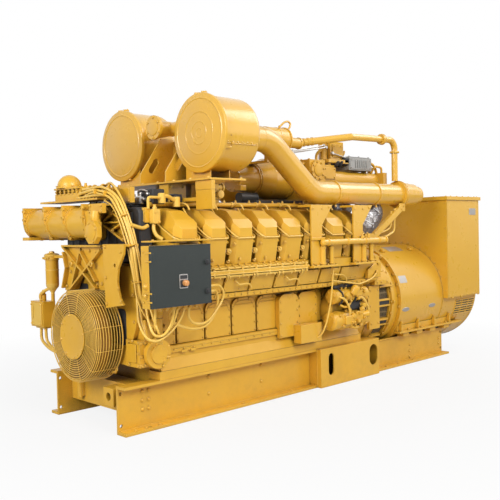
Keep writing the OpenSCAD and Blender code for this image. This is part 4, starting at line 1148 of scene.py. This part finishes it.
def makeTopPipes():  # clamps, flanges and bolts of the crossover, the intake pipes, the cone and the breather
    heap = Heap()
    middle = topPipes["crossover"]
    heap.boltRing(middle, 70, 6, toFront, 8, 0.5)
    heap.turned([(56, 0), (56, 3), (50, 4.5), (10, 5)], 40, [middle], toFront)
    pipeY, pipeZ = topPipes["intake"]
    flange = topPipes["flange"]
    for s in bankSides:
        y = -pipeY * s
        for x in topPipes["clamps"]:
            heap.add(*clampBand((x, y, pipeZ), 96, 10, 2, toRear, (0, -0.3 * s, -0.95)))
        heap.put(hoop(118, 4, 48), [(flange, y, pipeZ)], toRear)
        heap.boltRing((flange + 20, y, pipeZ), 108, 10, toRear, 7)
        heap.turned([(54, 0), (54, 6), (44, 14), (18, 20), (4, 21)], 36, [(topPipes["end"], y, pipeZ)],
                    toRear)
        for x, r in topPipes["nozzle"]:
            heap.put(hoop(r, 3.5, 64), [(x, y, pipeZ)], toRear)
        heap.plate((70, 50, 8), 30, 3, [(flange, y, 1395)], downward)
    for x, z, r in topPipes["cone"]:
        heap.put(hoop(r, 3.5, 96), [(x, 0, z)], (1, 0, 0.035))
    front = topPipes["coneFront"]
    heap.turned([(94, 0), (94, 14), (84, 16)], 48, [front], toRear)
    heap.boltRing(front, 80, 10, toFront, 7)
    heap.plate((70, 44, 6), 60, 4, [(1330, -66, 1556)], toRear)
    heap.boltRing((2650, -450, 1979), 37, 6, toFront, 5)
    heap.turned([(47, 0), (47, 5)], 32, [(2669, -450, 1979)], toRear)
    heap.turned([(40, 0), (42, 3), (42, 12), (40, 15)], 32, [(2852, -450, 1872)], upward)
    start, run = np.array(topPipes["hose"])
    for x in topPipes["hoseBands"]:
        t = (x - start[0]) / run[0]
        heap.turned([(30, -9), (33, -7), (33, 7), (30, 9)], 28, [start + t * run], run)
    y, z = topPipes["breather"]
    heap.add(*clampBand((1520, y, z), 90, 12, 2.5, toRear, (0, -0.5, 0.86)))
    heap.boltRing((1640, y, z), 66, 8, toRear, 7)
    heap.turned([(98, 0), (98, 10), (92, 13)], 48, [(1610, y, z)], toRear)
    heap.turned([(88, 0), (80, 10), (40, 16), (6, 17)], 40, [(1400, y, z)], toFront)
    heap.pipe([(x, y, height) for x, height in topPipes["bail"]], 6, 8, 10)
    heap.piece("top_clamps", glossYellow)


def makeMixer():
    heap = Heap()
    for s in bankSides:
        heap.boltRing((1985, -318 * s, 1700), 68, 8, (0, -s, 0), 8, 0.2)
    heap.turned([(50, 0), (50, 4), (44, 7), (20, 8)], 32, [(1985, -318, 1700)], toNear)
    edge = [(x, y, 1786) for x in (1916, 2074) for y in spread(-280, 280, 8)]
    heap.put(hexBolt, edge, upward, 8)
    heap.plate((150, 96, 8), 10, 2, [(2150, -292, 1684)], toNear)
    heap.put(hexBolt, [(x, -302, z) for x in (2092, 2206) for z in (1650, 1718)], toNear, 7)
    heap.put(fitting, [(2280, -180, 1951), (2340, -220, 1951), (2240, -160, 1951)], upward, 14)
    heap.plate((120, 110, 8), 8, 2, [(2292, -261, 1876)], toNear)
    heap.put(hexBolt, [(x, -269, z) for x in (2246, 2338) for z in (1836, 1916)], toNear, 6)
    heap.pipe([(2380, -210, 1820), (2400, -240, 1850), (2430, -230, 1880), (2470, -180, 1860)], 6, 10, 10)
    heap.add(tube(bent([(2100, -200, 1786), (2100, -200, 1842), (2150, -200, 1880), (2206, -200, 1880)], 26),
                  12, 12))
    heap.add(tube(bent([(1760, -230, 1740), (1880, -230, 1740), (1900, -240, 1760)], 26), 12, 12))
    heap.add(tube(bent([(2760, -200, 1712), (2760, -200, 1790), (2810, -240, 1800), (2850, -250, 1740),
                        (2860, -250, 1710)], 30), 12, 12))
    heap.add(tube(bent([(2790, -240, 1712), (2800, -280, 1770), (2880, -290, 1760), (2880, -290, 1712)], 30),
                  10, 12))
    heap.turned([(24, 0), (24, 50), (18, 60), (12, 62)], 20, [(2790, -160, 1710), (2846, -190, 1710)], upward)
    heap.piece("mixer_fittings", castYellow)
    rods = Heap()
    for a, b in (((1740, -262, 1829), (2152, -262, 1897)), ((1764, -240, 1846), (2150, -240, 1914)),
                 ((2200, -290, 1850), (2470, -270, 1812))):
        rods.add(tube(spread(a, b, 6), 5.5, 10))
        rods.turned([(11, -10), (13, -6), (13, 6), (11, 10)], 12, [a, b], toFar)
    rods.piece("linkage_rods", zinc)
    plugs = Heap()
    plugs.put(plug, [(2420, -252 + 36 * k, 1766 + 10 * (k % 2)) for k in range(6)], (-1, 0, 0.1), 15)
    plugs.put(plug, [(2232, -300, 1750), (2276, -304, 1752)], (0, -0.7, 0.7), 15)
    plugs.plate((66, 56, 6), 46, 4, [(2392, -262, 1776)], upward)
    for k in range(5):
        y = -250 + 34 * k
        plugs.pipe([(2376, y, 1770), (2340, y - 14, 1784 + 6 * k), (2300, y - 10, 1768), (2250, y, 1740),
                    (2236, y + 4, 1712)], 6, 7, 8)
    plugs.piece("harness_plugs", blackRubberAndShade)
    lid = Heap()
    lid.plate((300, 240, 14), 8, 2.5, [(2575, -165, 1829)], upward)
    lid.plate((292, 92, 10), 7, 2, [(2575, -289, 1776)], toNear)
    lid.put(hexBolt, [(x, y, 1837) for x in (2440, 2575, 2710) for y in (-272, -58)], upward, 7)
    lid.put(hexBolt, [(x, -296, z) for x in (2444, 2706) for z in (1744, 1808)], toNear, 6)
    for x in spread(2500, 2650, 6):
        lid.plate((8, 70, 3), 9, 2, [(x, -295, 1776)], toNear)
    lid.put(plug, [(2731, -250 + 50 * k, 1776) for k in range(4)], toRear, 13)
    lid.piece("ignition_lid", boxGrey, slot="box_paint")


def makeValley():  # pipes, fittings and dark harness between the banks and under the drums
    heap = Heap()
    for s in bankSides:
        for c in boreStations[:7]:
            heap.put(fitting, [(c + 60, -344 * s, 1428), (c - 70, -340 * s, 1428)], upward, 9)
            heap.turned([(19, -9), (21, -7), (21, 7), (19, 9)], 20, [(c + 121, -350 * s, 1412)], toRear)
    post = [(209, -450, 1380), (209, -450, 1452), (300, -440, 1452)]
    heap.add(tube(bent(post, 20), 9, 12))
    heap.plate((52, 92, 8), 50, 3, [(246, -440, 1332)], toNear)
    heap.put(hexBolt, [(232, -490, 1360), (260, -490, 1300)], toNear, 8)
    heap.put(fitting, [(246, -466, 1376)], upward, 15)
    heap.pipe([(240, -462, 1288), (236, -466, 1250), (246, -480, 1214), (270, -510, 1188)], 6, 12, 12)
    heap.pipe([(79, -450, 1283), (130, -452, 1268), (167, -452, 1262), (203, -450, 1276)], 6, 12, 10)
    heap.pipe([(300, -430, 1450), (360, -440, 1462), (420, -430, 1440), (470, -420, 1420)], 6, 13, 10)
    heap.turned([(24, -30), (24, 30), (20, 34)], 20, [(330, -430, 1446), (450, -425, 1424)], upward)
    valve = [(30, 1414), (30, 1452), (46, 1454), (46, 1468), (30, 1470), (27, 1500), (44, 1502), (44, 1516),
             (30, 1518), (30, 1560), (48, 1562), (48, 1578), (30, 1580), (28, 1606), (16, 1610)]
    heap.turned([(r, z - 1414) for r, z in valve], 28, mirrored([(888, -300, 1414)]), upward)
    heap.turned([(22, 0), (22, 40), (32, 42), (32, 54), (10, 58)], 20, mirrored([(905, -300, 1536)]), toRear)
    heap.turned([(20, 0), (20, 30), (28, 32), (28, 44), (8, 46)], 20, *bothSides([(888, -326, 1486)]))
    plate = [(x, y, 1573) for x in (560, 844) for y in spread(-620, 620, 8)]
    heap.put(hexBolt, plate, upward, 9)
    heap.put(hexBolt, [(x, -204, z) for x in (584, 690) for z in (1420, 1540)], toNear, 9)
    heap.piece("valley_pipes", trimYellow)
    dark = Heap()
    for y in (-190, -120, -60, 40, 110, 180):
        points = [(x, y + 14 * math.sin(x * 0.013 + y), 1410 + 8 * math.sin(x * 0.021 + y)) for x in
                  spread(290, 1360, 12)]
        dark.pipe(points, 4, 11, 8)
    for x in (300, 620, 900, 1180):
        dark.pipe([(x, -230, 1404), (x + 10, -120, 1422), (x - 10, 0, 1426), (x + 10, 130, 1422),
                   (x, 232, 1404)], 5, 10, 8)
    dark.plate((1100, 26, 6), 6, 1.5, [(760, -256, 1401)], upward)
    dark.piece("valley_harness", blackRubberAndShade)
    bright = Heap()
    coil = join(lathe([(26, 0), (28, 3), (28, 44), (22, 52)], 24), lathe([(12, 50), (12, 66), (8, 68)], 12))
    bright.put(coil, [(x, y, 1416) for x in (286, 350) for y in (-260, -190, 150)], upward)
    bright.put(coil, [(420, -250, 1416), (470, 100, 1416)], upward)
    bright.piece("valley_coils", zinc)


def makeSaddles():  # upright plate between the two slotted brackets, and a cradle under each drum
    heap = Heap()
    across = [(-192, 1573), (112, 1573), (112, 1890), (-192, 1890)]
    heap.put(prism([(-y, z) for y, z in across][::-1], 6, 1), [(852, 0, 0)], toFront)
    turn = np.radians(np.linspace(254, 316, 12))
    for s in bankSides:
        arc = np.stack([-drum["y"] + 252 * np.cos(turn), drum["z"] + 252 * np.sin(turn)], 1)
        cradle = np.concatenate([[(-520, 1573)], arc, [(-268, 1573)]])
        outline = cradle * (-1, 1) if s > 0 else cradle[::-1]
        heap.put(prism(outline, 8, 1), [(x, 0, 0) for x in (672, 838)], toFront)
    heap.piece("drum_cradles", sheetYellow)


makeDrums()
makeSaddles()
makeTopPipes()
makeMixer()
makeValley()
print("top of the engine made")

# lagged casings

foil = {"lift": 4.0, "rows": 96, "sides": 108}


def crumpled(start, end, radius, seed):
    # capsule whose radius eases to nothing at both ends, creased by sums of sines
    start, end = np.array(start, float), np.array(end, float)
    length = np.linalg.norm(end - start)
    s = np.linspace(-radius * 0.98, length + radius * 0.98, foil["rows"])[:, None]
    over = np.clip(np.maximum(-s, s - length), 0, None) / radius
    a = np.linspace(0, 2 * math.pi, foil["sides"], endpoint=False)[None, :]
    wave = (np.sin(6 * a + s * 0.06 + seed) * np.sin(s * 0.08 + 2 * a + seed)
            + 0.8 * np.abs(np.sin(13 * a - s * 0.16 + seed * 2))
            + 0.6 * np.abs(np.sin(s * 0.21 + 9 * a + seed)) + 0.3 * np.abs(np.sin(s * 0.45 - 21 * a)))
    reach = radius * np.sqrt(np.clip(1 - over**2, 0.02, 1)) - foil["lift"] + foil["lift"] * wave * (1 - over)
    rows = np.stack([reach * np.cos(a), reach * np.sin(a), s + 0 * a], -1)
    turn = axes(end - start)[0]
    points, quads, tris = skin(rows)
    return points @ turn.T + start, quads, tris


def makeFoil():
    heap = Heap()
    for s in bankSides:
        heap.add(crumpled((2536, -330 * s, 1232), (2640, -330 * s, 1360), 114, 0.4 * s))
        for k, x in enumerate((2196, 2330)):
            heap.add(crumpled((x + 34, -284 * s, 1391), (x + 50, -284 * s, 1391), 47, 1.3 + k))
            heap.add(crumpled((x - 114, -402 * s, 1400), (x - 82, -402 * s, 1400), 33, 2.1 + k))
    heap.piece("foil_lagging", foilSilver, slot="foil_lagging", sharp=60)
    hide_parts("turbochargers")
    bands = Heap()
    way = np.array((119.6, 0, 147.7)) / 190
    for s in bankSides:
        for t in (10, 150):
            place = np.array((2536, -330 * s, 1232)) + way * t
            bands.turned([(112, -4), (117, -3), (117, 3), (112, 4)], 40, [place], way)
    bands.piece("lagging_bands", zinc)


makeFoil()
print("lagging made")

# pipe legs, starters and flywheel housing

rear = {"legStations": (1519, 2015), "legFace": -638}


def makeLegs():
    heap = Heap()
    face = rear["legFace"]
    spots, ears = [], []
    for x in rear["legStations"]:
        spots += [(x + dx, face, z) for dx, z in ((18, 1160), (98, 1160), (18, 980), (98, 980), (18, 1380),
                                                  (120, 1380), (200, 1390))]
        ears += [(x + dx, face - 10, 961) for dx in (-2, 48, 168, 268)]
        heap.plate((150, 22, 5), 16, 2, *bothSides([(x + 62, face + 1, 1158)]))
        for dx, r in ((116, 22), (215, 19)):
            for z in (975, 1088):
                heap.turned([(r + 1, -6), (r + 5, -4), (r + 5, 4), (r + 1, 6)], 24,
                            mirrored([(x + dx, face - 4, z)]), upward)
    heap.put(hexBolt, *bothSides(spots), 8)
    heap.put(hexBolt, mirrored(ears), upward, 9)
    for s in bankSides:
        y = (face - 27) * s
        for x in (1668, 1900, 2120, 2300):
            heap.turned([(24, -7), (29, -5), (29, 5), (24, 7)], 24, [(x, y, 1130)], toRear)
        heap.turned([(25, -6), (27, -2), (24, 6), (14, 14), (4, 17)], 24, [(1611, y, 1130)], toFront)
        heap.turned([(30, -5), (30, 8)], 20, [(2386, y, 1130)], toRear)
        heap.put(fitting, [(x, y - 6 * s, 1150) for x in (2080, 2160)], upward, 15)
        heap.put(hexBolt, [(x, -540 * s, 1182) for x in (2320, 2420)], (0, -s, 0.4), 8)
        heap.plate((86, 70, 10), 14, 3, [(2838, -520 * s, 1398)], (0, -s, 0))
        heap.put(hexBolt, [(2822, -534 * s, 1384), (2852, -534 * s, 1412)], (0, -s, 0), 9)
    heap.piece("leg_fittings", castYellow)


starterMotors = ((1856, 545, 704, 58), (1828, 550, 516, 70))
starterFittings = [
    ((0.2, -1, 0.2), 12, [(1920, -614, 540), (1980, -640, 500), (2060, -618, 700), (2120, -618, 752),
                          (2142, -624, 520), (2088, -624, 560), (2190, -604, 668), (2210, -600, 620),
                          (2240, -562, 500), (2240, -562, 660), (2180, -600, 470)]),
    ((0, -0.4, 1), 10, [(1890, -560, 762), (1930, -570, 760), (1990, -566, 762), (2040, -566, 762),
                        (2160, -560, 762), (2210, -556, 756), (1960, -590, 584), (2010, -596, 582),
                        (2150, -590, 582)]),
    ((1, -0.5, 0.3), 9, [(2120, -606, 690), (2140, -600, 730), (2130, -606, 500), (2160, -596, 552),
                         (2200, -590, 700)]),
    ((-0.4, -1, -0.2), 11, [(1872, -604, 560), (1900, -616, 480), (2040, -614, 476), (2100, -620, 470),
                            (2000, -606, 668), (1944, -600, 676)])]
starterCaps = [
    (toNear, 22, [(1946, -596, 716), (2004, -612, 548), (2166, -588, 616)]),
    ((0, -1, 0.1), 16, [(2092, -600, 680), (2070, -616, 504), (2176, -596, 726), (2236, -560, 580)]),
    ((0.3, -1, 0.6), 18, [(2060, -596, 752), (2130, -606, 586)])]


def makeStarters():
    heap = Heap()
    for s in bankSides:
        heap.turned([(162, 0), (162, 6), (150, 14), (132, 18), (120, 10), (40, 12)], 64,
                    [(2015, -500 * s, 587)], (0, -s, 0))
        heap.boltRing((2015, -514 * s, 587), 144, 12, (0, -s, 0), 8, 0.1)
        for x, depth, z, r in starterMotors:
            y = -depth * s
            cap = lathe([(r - 1, 0), (r + 2, 2), (r + 2, 14), (r - 8, 22), (r * 0.4, 26), (6, 28)], 40)
            heap.put(cap, [(x, y, z)], toFront)
            for dx in (70, 190, 300):
                heap.turned([(r, -8), (r + 4, -6), (r + 4, 6), (r, 8)], 40, [(x + dx, y, z)], toRear)
            heap.boltRing((x - 20, y, z), r * 0.66, 6, toFront, 7)
        heap.turned([(30, 0), (34, 3), (34, 60), (26, 72), (10, 76)], 24, [(2040, -596 * s, 716)],
                    (0.3, -s * 0.5, 1))
        heap.turned([(26, 0), (30, 3), (30, 54), (20, 62), (8, 64)], 24, [(2150, -600 * s, 540)],
                    (0.9, -s * 0.5, 0.2))
        heap.plate((110, 76, 12), 30, 4, [(2110, -594 * s, 540)], (0, -s, 0))
        heap.plate((96, 70, 14), 34, 5, [(1950, -606 * s, 520)], (0, -s, 0))
        heap.plate((120, 60, 10), 26, 4, [(2080, -592 * s, 728)], (0, -s, 0))
        for way, size, spots in starterFittings:
            heap.put(fitting, np.array(spots) * (1, s, 1), np.array(way) * (1, s, 1), size)
        for way, size, spots in starterCaps:
            cap = lathe([(1.15, 0), (1.15, 0.3), (1, 0.35), (1, 1.3), (0.8, 1.6), (0.3, 1.7)], 16)
            heap.put(cap, np.array(spots) * (1, s, 1), np.array(way) * (1, s, 1), size)
        heap.put(hexBolt, [(2216 + 24 * k, -561 * s, z) for k in range(3) for z in (480, 730)], (0, -s, 0), 8)
        heap.pipe([(2000, -590 * s, 470), (2040, -610 * s, 452), (2100, -606 * s, 456), (2170, -590 * s, 480),
                   (2220, -560 * s, 500)], 6, 12, 10)
        heap.pipe([(1890, -590 * s, 640), (1930, -612 * s, 622), (1990, -604 * s, 640),
                   (2030, -590 * s, 668)], 6, 9, 10)
    heap.piece("starter_fittings", castYellow)
    dark = Heap()
    for s in bankSides:
        dark.put(plug, np.array([(1900, -575, 786), (1960, -585, 792), (2030, -582, 790)]) * (1, s, 1),
                 (0.3, -s, 0.5), 11)
        for x in (1884, 2050, 2118):
            dark.pipe([(x, -560 * s, 770), (x + 10, -590 * s, 750), (x + 26, -604 * s, 716),
                       (x + 20, -600 * s, 668), (x + 4, -580 * s, 640)], 6, 6, 8)
        dark.plate((136, 62, 10), 10, 3, [(2076, -575 * s, 618)], (0, -s, 0))
        dark.plate((112, 40, 6), 8, 2, [(2076, -583 * s, 618)], (0, -s, 0))
        dark.pipe([(1850, -560 * s, 775), (1930, -575 * s, 784), (2010, -570 * s, 778), (2100, -560 * s, 782),
                   (2180, -540 * s, 776)], 6, 12, 10)
        dark.pipe([(2120, -575 * s, 640), (2180, -560 * s, 610), (2190, -560 * s, 570)], 6, 8, 8)
    dark.piece("starter_cables", blackRubberAndShade)


coupling = {"ring": 2795, "housing": 2581, "middle": 2672, "windows": 16}


def makeFlywheel():
    heap = Heap()
    ring = ringOf(onCrank(coupling["ring"]), 450, 28, toRear)
    heap.boltRing(onCrank(coupling["ring"] - 24), 449, 28, toFront, 9)
    front = ringOf(onCrank(coupling["housing"]), 428, 24, toFront, 0.08)
    heap.put(hexBolt, front[np.abs(front[:, 1]) < 440], toFront, 8)
    plates = [(x, -460, z) for x, z in ((2454, 570), (2521, 523), (2461, 421), (2454, 700), (2560, 700),
                                        (2560, 420))]
    heap.put(hexBolt, *bothSides(plates), 7)
    for s in bankSides:
        heap.put(prism([(-46, -90), (52, -90), (60, 20), (10, 96), (-46, 96)], 90, 4),
                 [(2420, -470 * s, 910)], (0, -s, 0))
        heap.turned([(15, 0), (17, 3), (17, 12), (10, 16), (4, 17)], 20,
                    [(2402, -560 * s, 862), (2432, -560 * s, 936)], (0, -s, 0))
        heap.put(prism([(-90, -24), (110, -24), (120, -8), (20, 24), (-90, 24)], 60, 4),
                 [(2560, -440 * s, 770)], (0, -s, 0))
        heap.put(hexBolt, [(x, -500 * s, 768) for x in (2500, 2560, 2640)], (0, -s, 0), 9)
        heap.put(prism([(-70, -60), (-20, -60), (60, 50), (20, 60), (-70, 10)], 40, 4),
                 [(2340, -540 * s, 880)], (0, -s, 0))
        heap.put(hexBolt, [(2390, -560 * s, 990), (2466, -560 * s, 990), (2380, -560 * s, 920)], (0, -s, 0),
                 10)
    heap.put(hexBolt, [(x, y, 1121) for x in (2350, 2430) for y in spread(-180, 180, 5)], upward, 10)
    heap.put(hoop(440, 5, 96), [onCrank(2583)], toRear)
    heap.plate((60, 26, 6), 20, 3, ring[::7] + (-24, 0, 0), toRear)
    heap.piece("flywheel_bolts", castYellow)
    mesh = Heap()
    mesh.turned([(400, 0), (421, 1), (421, 169), (400, 170)], 144, [onCrank(2586.5)], toRear)
    for x in spread(2598, 2746, 13):
        mesh.put(hoop(421.5, 1.3, 144, 5), [onCrank(x)], toRear)
    mesh.piece("window_screens", screenWire)
    bars, gaps = Heap(), Heap()
    middle = onCrank(coupling["middle"])
    for turn in 2 * math.pi * np.arange(coupling["windows"]) / coupling["windows"]:
        out = np.array((0, -math.sin(turn), math.cos(turn)))
        along = np.cross(out, toRear)
        for side in (-1, 1):
            bars.plate((168, 13, 3), 14, 2.5, [middle + 437 * out + side * 24 * along], out, up=along)
        # black strip in each window between its bars: painted shade of the inside
        gaps.plate((160, 30, 3), 3, 0.8, [middle + 439 * out], out, up=along)
    bars.piece("window_ribs", castYellow)
    gaps.piece("window_gaps", blackRubberAndShade)
    plates = Heap()
    for s in bankSides:
        shell = wrapped(2598, 2806, (17, 50), 459, 9)
        plates.add((shell[0] * (1, s, 1), shell[1][:, ::s], shell[2][:, ::s]))
        for deg in (20, 33, 46):
            out = radial(math.radians(deg), s)
            plates.put(hexBolt, [onCrank(x) + 467 * out for x in (2626, 2778)], out, 9)
        for deg, x, w, h in ((17.6, 2702, 212, 14), (38, 2700, 90, 60), (44, 2650, 60, 30)):
            out = radial(math.radians(deg), s)
            plates.plate((w, h, 4), 16, 3, [onCrank(x) + 462 * out], out, up=np.cross(out, toRear))
    plates.piece("ring_covers", castYellow)


makeLegs()
makeStarters()
makeFlywheel()
print("rear of the engine made")

# generator

alternator = {"barrelFront": 2868, "barrelBack": 3558, "radius": 480, "bell": 482, "bellFront": 3559,
              "bellBack": 4215, "boxFront": 3560, "boxBack": 4157, "boxHalf": 536, "boxLow": 548,
              "boxTop": 1470}


def makeGenerator():
    heap = Heap()
    g = alternator
    for x in (2894, 3552):
        heap.put(hoop(g["radius"] + 1, 4, 128, 6), [onCrank(x)], toRear)
    upper = ringOf(onCrank(g["barrelFront"] - 1), 466, 30, toFront, 0.1)
    heap.put(hexBolt, upper[upper[:, 2] > 470], toFront, 9)
    for x in (2975, 3420):
        for s in bankSides:
            out = radial(1.1, s)
            heap.plate((46, 60, 16), 26, 4, [onCrank(x) + 478 * out], out, up=toRear)
    back = g["bellBack"]
    heap.turned([(300, -4), (300, 10), (286, 18), (240, 20), (228, 12), (60, 16)], 72, [onCrank(back)],
                toRear)
    heap.boltRing(onCrank(back + 16), 262, 12, toRear, 10)
    heap.boltRing(onCrank(back), 400, 16, toRear, 10, 0.15)
    heap.turned([(120, 0), (120, 20), (104, 30), (20, 32)], 48, [onCrank(back + 12)], toRear)
    heap.boltRing(onCrank(back + 34), 92, 6, toRear, 9)
    for x in (3562, 3900, 4150):
        heap.put(hoop(g["bell"] + 0.5, 3, 128, 6), [onCrank(x)], toRear)
    for s in bankSides:
        for z in spread(366, 506, 7):
            reach = math.sqrt(g["bell"] ** 2 - (z - crankHeight) ** 2)
            heap.add(tube(spread((3806, -reach * s, z), (4160, -reach * s, z), 8), 7, 6))
        for x in (3806, 3924, 4042, 4160):
            a = np.arcsin((spread(362, 510, 8) - crankHeight) / g["bell"])
            rib = np.stack([np.full(8, x), -s * g["bell"] * np.cos(a), crankHeight + g["bell"] * np.sin(a)],
                           -1)
            heap.add(tube(rib, 6, 6))
    heap.piece("generator_details", sheetYellow)
    gaps = Heap()
    # dark screen patch under the louvres: painted shade of the inside
    angles = np.degrees(np.arcsin((np.array((364, 508)) - crankHeight) / g["bell"]))
    patch = wrapped(3808, 4158, angles, g["bell"] - 1, 2.2)
    gaps.add(patch, (patch[0] * (1, -1, 1), patch[1][:, ::-1], patch[2][:, ::-1]))
    gaps.piece("louvre_gaps", screenWire)


def makeTerminalBox():
    heap = Heap()
    g = alternator
    low, top, half = g["boxLow"], g["boxTop"], g["boxHalf"]
    for s in bankSides:
        y = -half * s
        panelAt = (np.array((g["boxFront"] + g["boxBack"], 0, low + top)) / 2 + (0, y, 0))
        heap.put(prism(roundRect(584, 908, 6, 3), 2, 0.8), [panelAt], (0, -s, 0))
        edge = [(x, y - 1.5 * s, z) for x in spread(3584, 4134, 6) for z in (562, 1456)]
        heap.put(domeBolt, edge, (0, -s, 0), 5)
        tabs = [(x, y - 1.5 * s, low + 1) for x in (3640, 3800, 4120)]
        heap.plate((30, 14, 3), 8, 1.5, tabs, (0, -s, 0))
    frontBolts = [(g["boxFront"], y, z) for y in (-516, 516) for z in spread(620, 1440, 8)]
    frontBolts += [(g["boxFront"], y, 1450) for y in spread(-440, 440, 9)]
    heap.put(domeBolt, frontBolts, toFront, 5)
    arc = np.linspace(0.35, math.pi - 0.35, 18)
    rim = np.stack([np.full(18, g["boxFront"]), 500 * np.cos(arc), crankHeight + 500 * np.sin(arc)], -1)
    heap.put(domeBolt, rim, toFront, 6)
    lip = np.linspace(0.0, math.pi, 60)
    heap.add(tube(np.stack([np.full(60, g["boxFront"] + 1), 487 * np.cos(lip),
                            crankHeight + 487 * np.sin(lip)], -1), 4, 6))
    back = g["boxBack"]
    for y in (-262, 262):
        heap.plate((500, 330, 8), 6, 2, [(back, y, 1282)], toRear)
        heap.put(hexBolt, [(back + 6, y + dy, z) for dy in (-234, 234) for z in spread(1140, 1424, 4)],
                 toRear, 7)
        hinge = y + math.copysign(246, y)
        heap.turned([(7, -30), (9, -28), (9, 28), (7, 30)], 12, [(back + 6, hinge, z) for z in (1190, 1380)],
                    upward)
    lidBolts = [(x, y, 1504) for x in (3570, 4150) for y in spread(-520, 520, 9)]
    lidBolts += [(x, y, 1504) for y in (-530, 530) for x in spread(3640, 4080, 5)]
    heap.put(domeBolt, lidBolts, upward, 7)
    heap.plate((520, 980, 20), 5, 2, [(3860, 0, 1503)], upward)
    heap.piece("terminal_panels", sheetYellow)


def makePlates():  # bare plates, nothing on them
    heap = Heap()
    heap.add(wrapped(2880, 3012, (18.5, 26.5), 480, 1.6))
    heap.add(wrapped(3075, 3300, (62, 74), 480, 1.4))
    for x in (2955, 3384):
        oval = np.linspace(0, 2 * math.pi, 28, endpoint=False)
        heap.put(prism(np.stack([56 * np.cos(oval), 19 * np.sin(oval)], 1), 6, 1.5), [(x, -470, 498)],
                 (0, -1, -0.18))
    heap.plate((122, 62, 4), 1.6, 0.5, [(4027, -539, 1361)], toNear)
    heap.piece("bare_plates", plateMetal)
    holes = Heap()
    for deg in (24.5, 20.5):
        out = radial(math.radians(deg))
        holes.put(domeBolt, [onCrank(x) + 481 * out for x in (2895, 2997)], out, 3)
    holes.put(domeBolt, [(x, -540.4, z) for x in (3974, 4080) for z in (1338, 1384)], toNear, 3)
    holes.piece("plate_rivets", zinc)


makeGenerator()
makeTerminalBox()
makePlates()
print("generator made")

# floor, light and camera

studio = {"floor": 0.62, "worldLevel": 0.16, "backdrop": 1.0, "lamps": {  # place, target, size, energy
    "key": ((-1.8, -7.0, 5.0), (0, 0, 0.9), 3.5, 350), "front": ((-7.8, -1.8, 3.8), (0, 0, 1.3), 3.5, 345),
    "fill": ((5.5, -6.0, 3.0), (0.5, 0, 0.9), 4.0, 45), "top": ((4.6, -2.6, 5.6), (0.3, 0, 1.2), 3.6, 150)}}


def makeStage():
    size = 40
    grid = np.linspace(-size, size, 3)
    x, y = np.meshgrid(grid, grid, indexing="ij")
    points = np.stack([x.ravel(), y.ravel(), np.full(9, -0.002)], 1)
    quads = [(0, 3, 4, 1), (1, 4, 5, 2), (3, 6, 7, 4), (4, 7, 8, 5)]
    mesh = bpy.data.meshes.new("floor")
    mesh.from_pydata(points.tolist(), [], quads)
    material = bpy.data.materials.new("floorPale")
    material.use_nodes = True
    tree = material.node_tree
    shader = tree.nodes["Principled BSDF"]
    spot = tree.nodes.new("ShaderNodeTexCoord").outputs["Object"]
    level = studio["floor"]
    tree.links.new(mix(tree, noise(tree, spot, 3.0, 4.0), (level, level, level, 1),
                       (level * 0.985, level * 0.985, level * 0.98, 1)), shader.inputs["Base Color"])
    shader.inputs["Roughness"].default_value = 0.8
    glow = node(tree, "ShaderNodeEmission", {"Color": (1, 1, 1, 1), "Strength": studio["backdrop"]})
    far = node(tree, "ShaderNodeVectorMath", {0: spot}, operation="LENGTH").outputs["Value"]
    seen = node(tree, "ShaderNodeLightPath").outputs["Is Camera Ray"]
    share = calc(tree, "MULTIPLY", ramp(tree, far, 1.4, 4.2, 0.86, 1.0), seen)
    both = node(tree, "ShaderNodeMixShader", {0: share, 1: shader.outputs[0], 2: glow.outputs[0]})
    tree.links.new(both.outputs[0], tree.nodes["Material Output"].inputs["Surface"])
    mesh.materials.append(material)
    floor = bpy.data.objects.new("floor", mesh)
    bpy.context.scene.collection.objects.link(floor)


def makeWorld():
    world = bpy.data.worlds.new("studio")
    bpy.context.scene.world = world
    world.use_nodes = True
    tree = world.node_tree
    path = node(tree, "ShaderNodeLightPath").outputs
    plainly = calc(tree, "MAXIMUM", calc(tree, "MAXIMUM", path["Is Camera Ray"], path["Is Glossy Ray"]),
                   path["Is Transmission Ray"])
    strength = ramp(tree, plainly, 0, 1, studio["worldLevel"], studio["backdrop"])
    shade = tree.nodes["Background"]
    shade.inputs["Color"].default_value = (1, 1, 1, 1)
    tree.links.new(strength, shade.inputs["Strength"])


def makeLamp(name, place, target, size, energy):
    data = bpy.data.lights.new(name, "AREA")
    data.shape, data.size, data.energy = "DISK", size, energy
    lamp = bpy.data.objects.new(name, data)
    turn = axes(np.array(place, float) - np.array(target, float))[0]
    lamp.matrix_world = Matrix.Translation(place) @ Matrix(turn.tolist()).to_4x4()
    bpy.context.scene.collection.objects.link(lamp)


view = {"place": (-4.2705, -4.060, 1.244), "lens": 51.48, "right": (0.7182, -0.6954, -0.0224),
        "up": (0.0369, 0.0060, 0.9993), "back": (-0.6949, -0.7186, 0.0300)}


def makeCamera():
    data = bpy.data.cameras.new("camera")
    data.lens, data.sensor_width = view["lens"], 36
    data.clip_end = 200
    camera = bpy.data.objects.new("camera", data)
    turn = Matrix((view["right"], view["up"], view["back"])).transposed()
    camera.matrix_world = Matrix.Translation(view["place"]) @ turn.to_4x4()
    bpy.context.scene.collection.objects.link(camera)
    bpy.context.scene.camera = camera


makeStage()
makeWorld()
for name, lamp in studio["lamps"].items():
    makeLamp(name, *lamp)
makeCamera()
bpy.context.scene.view_settings.view_transform = "Standard"
print("stage ready")
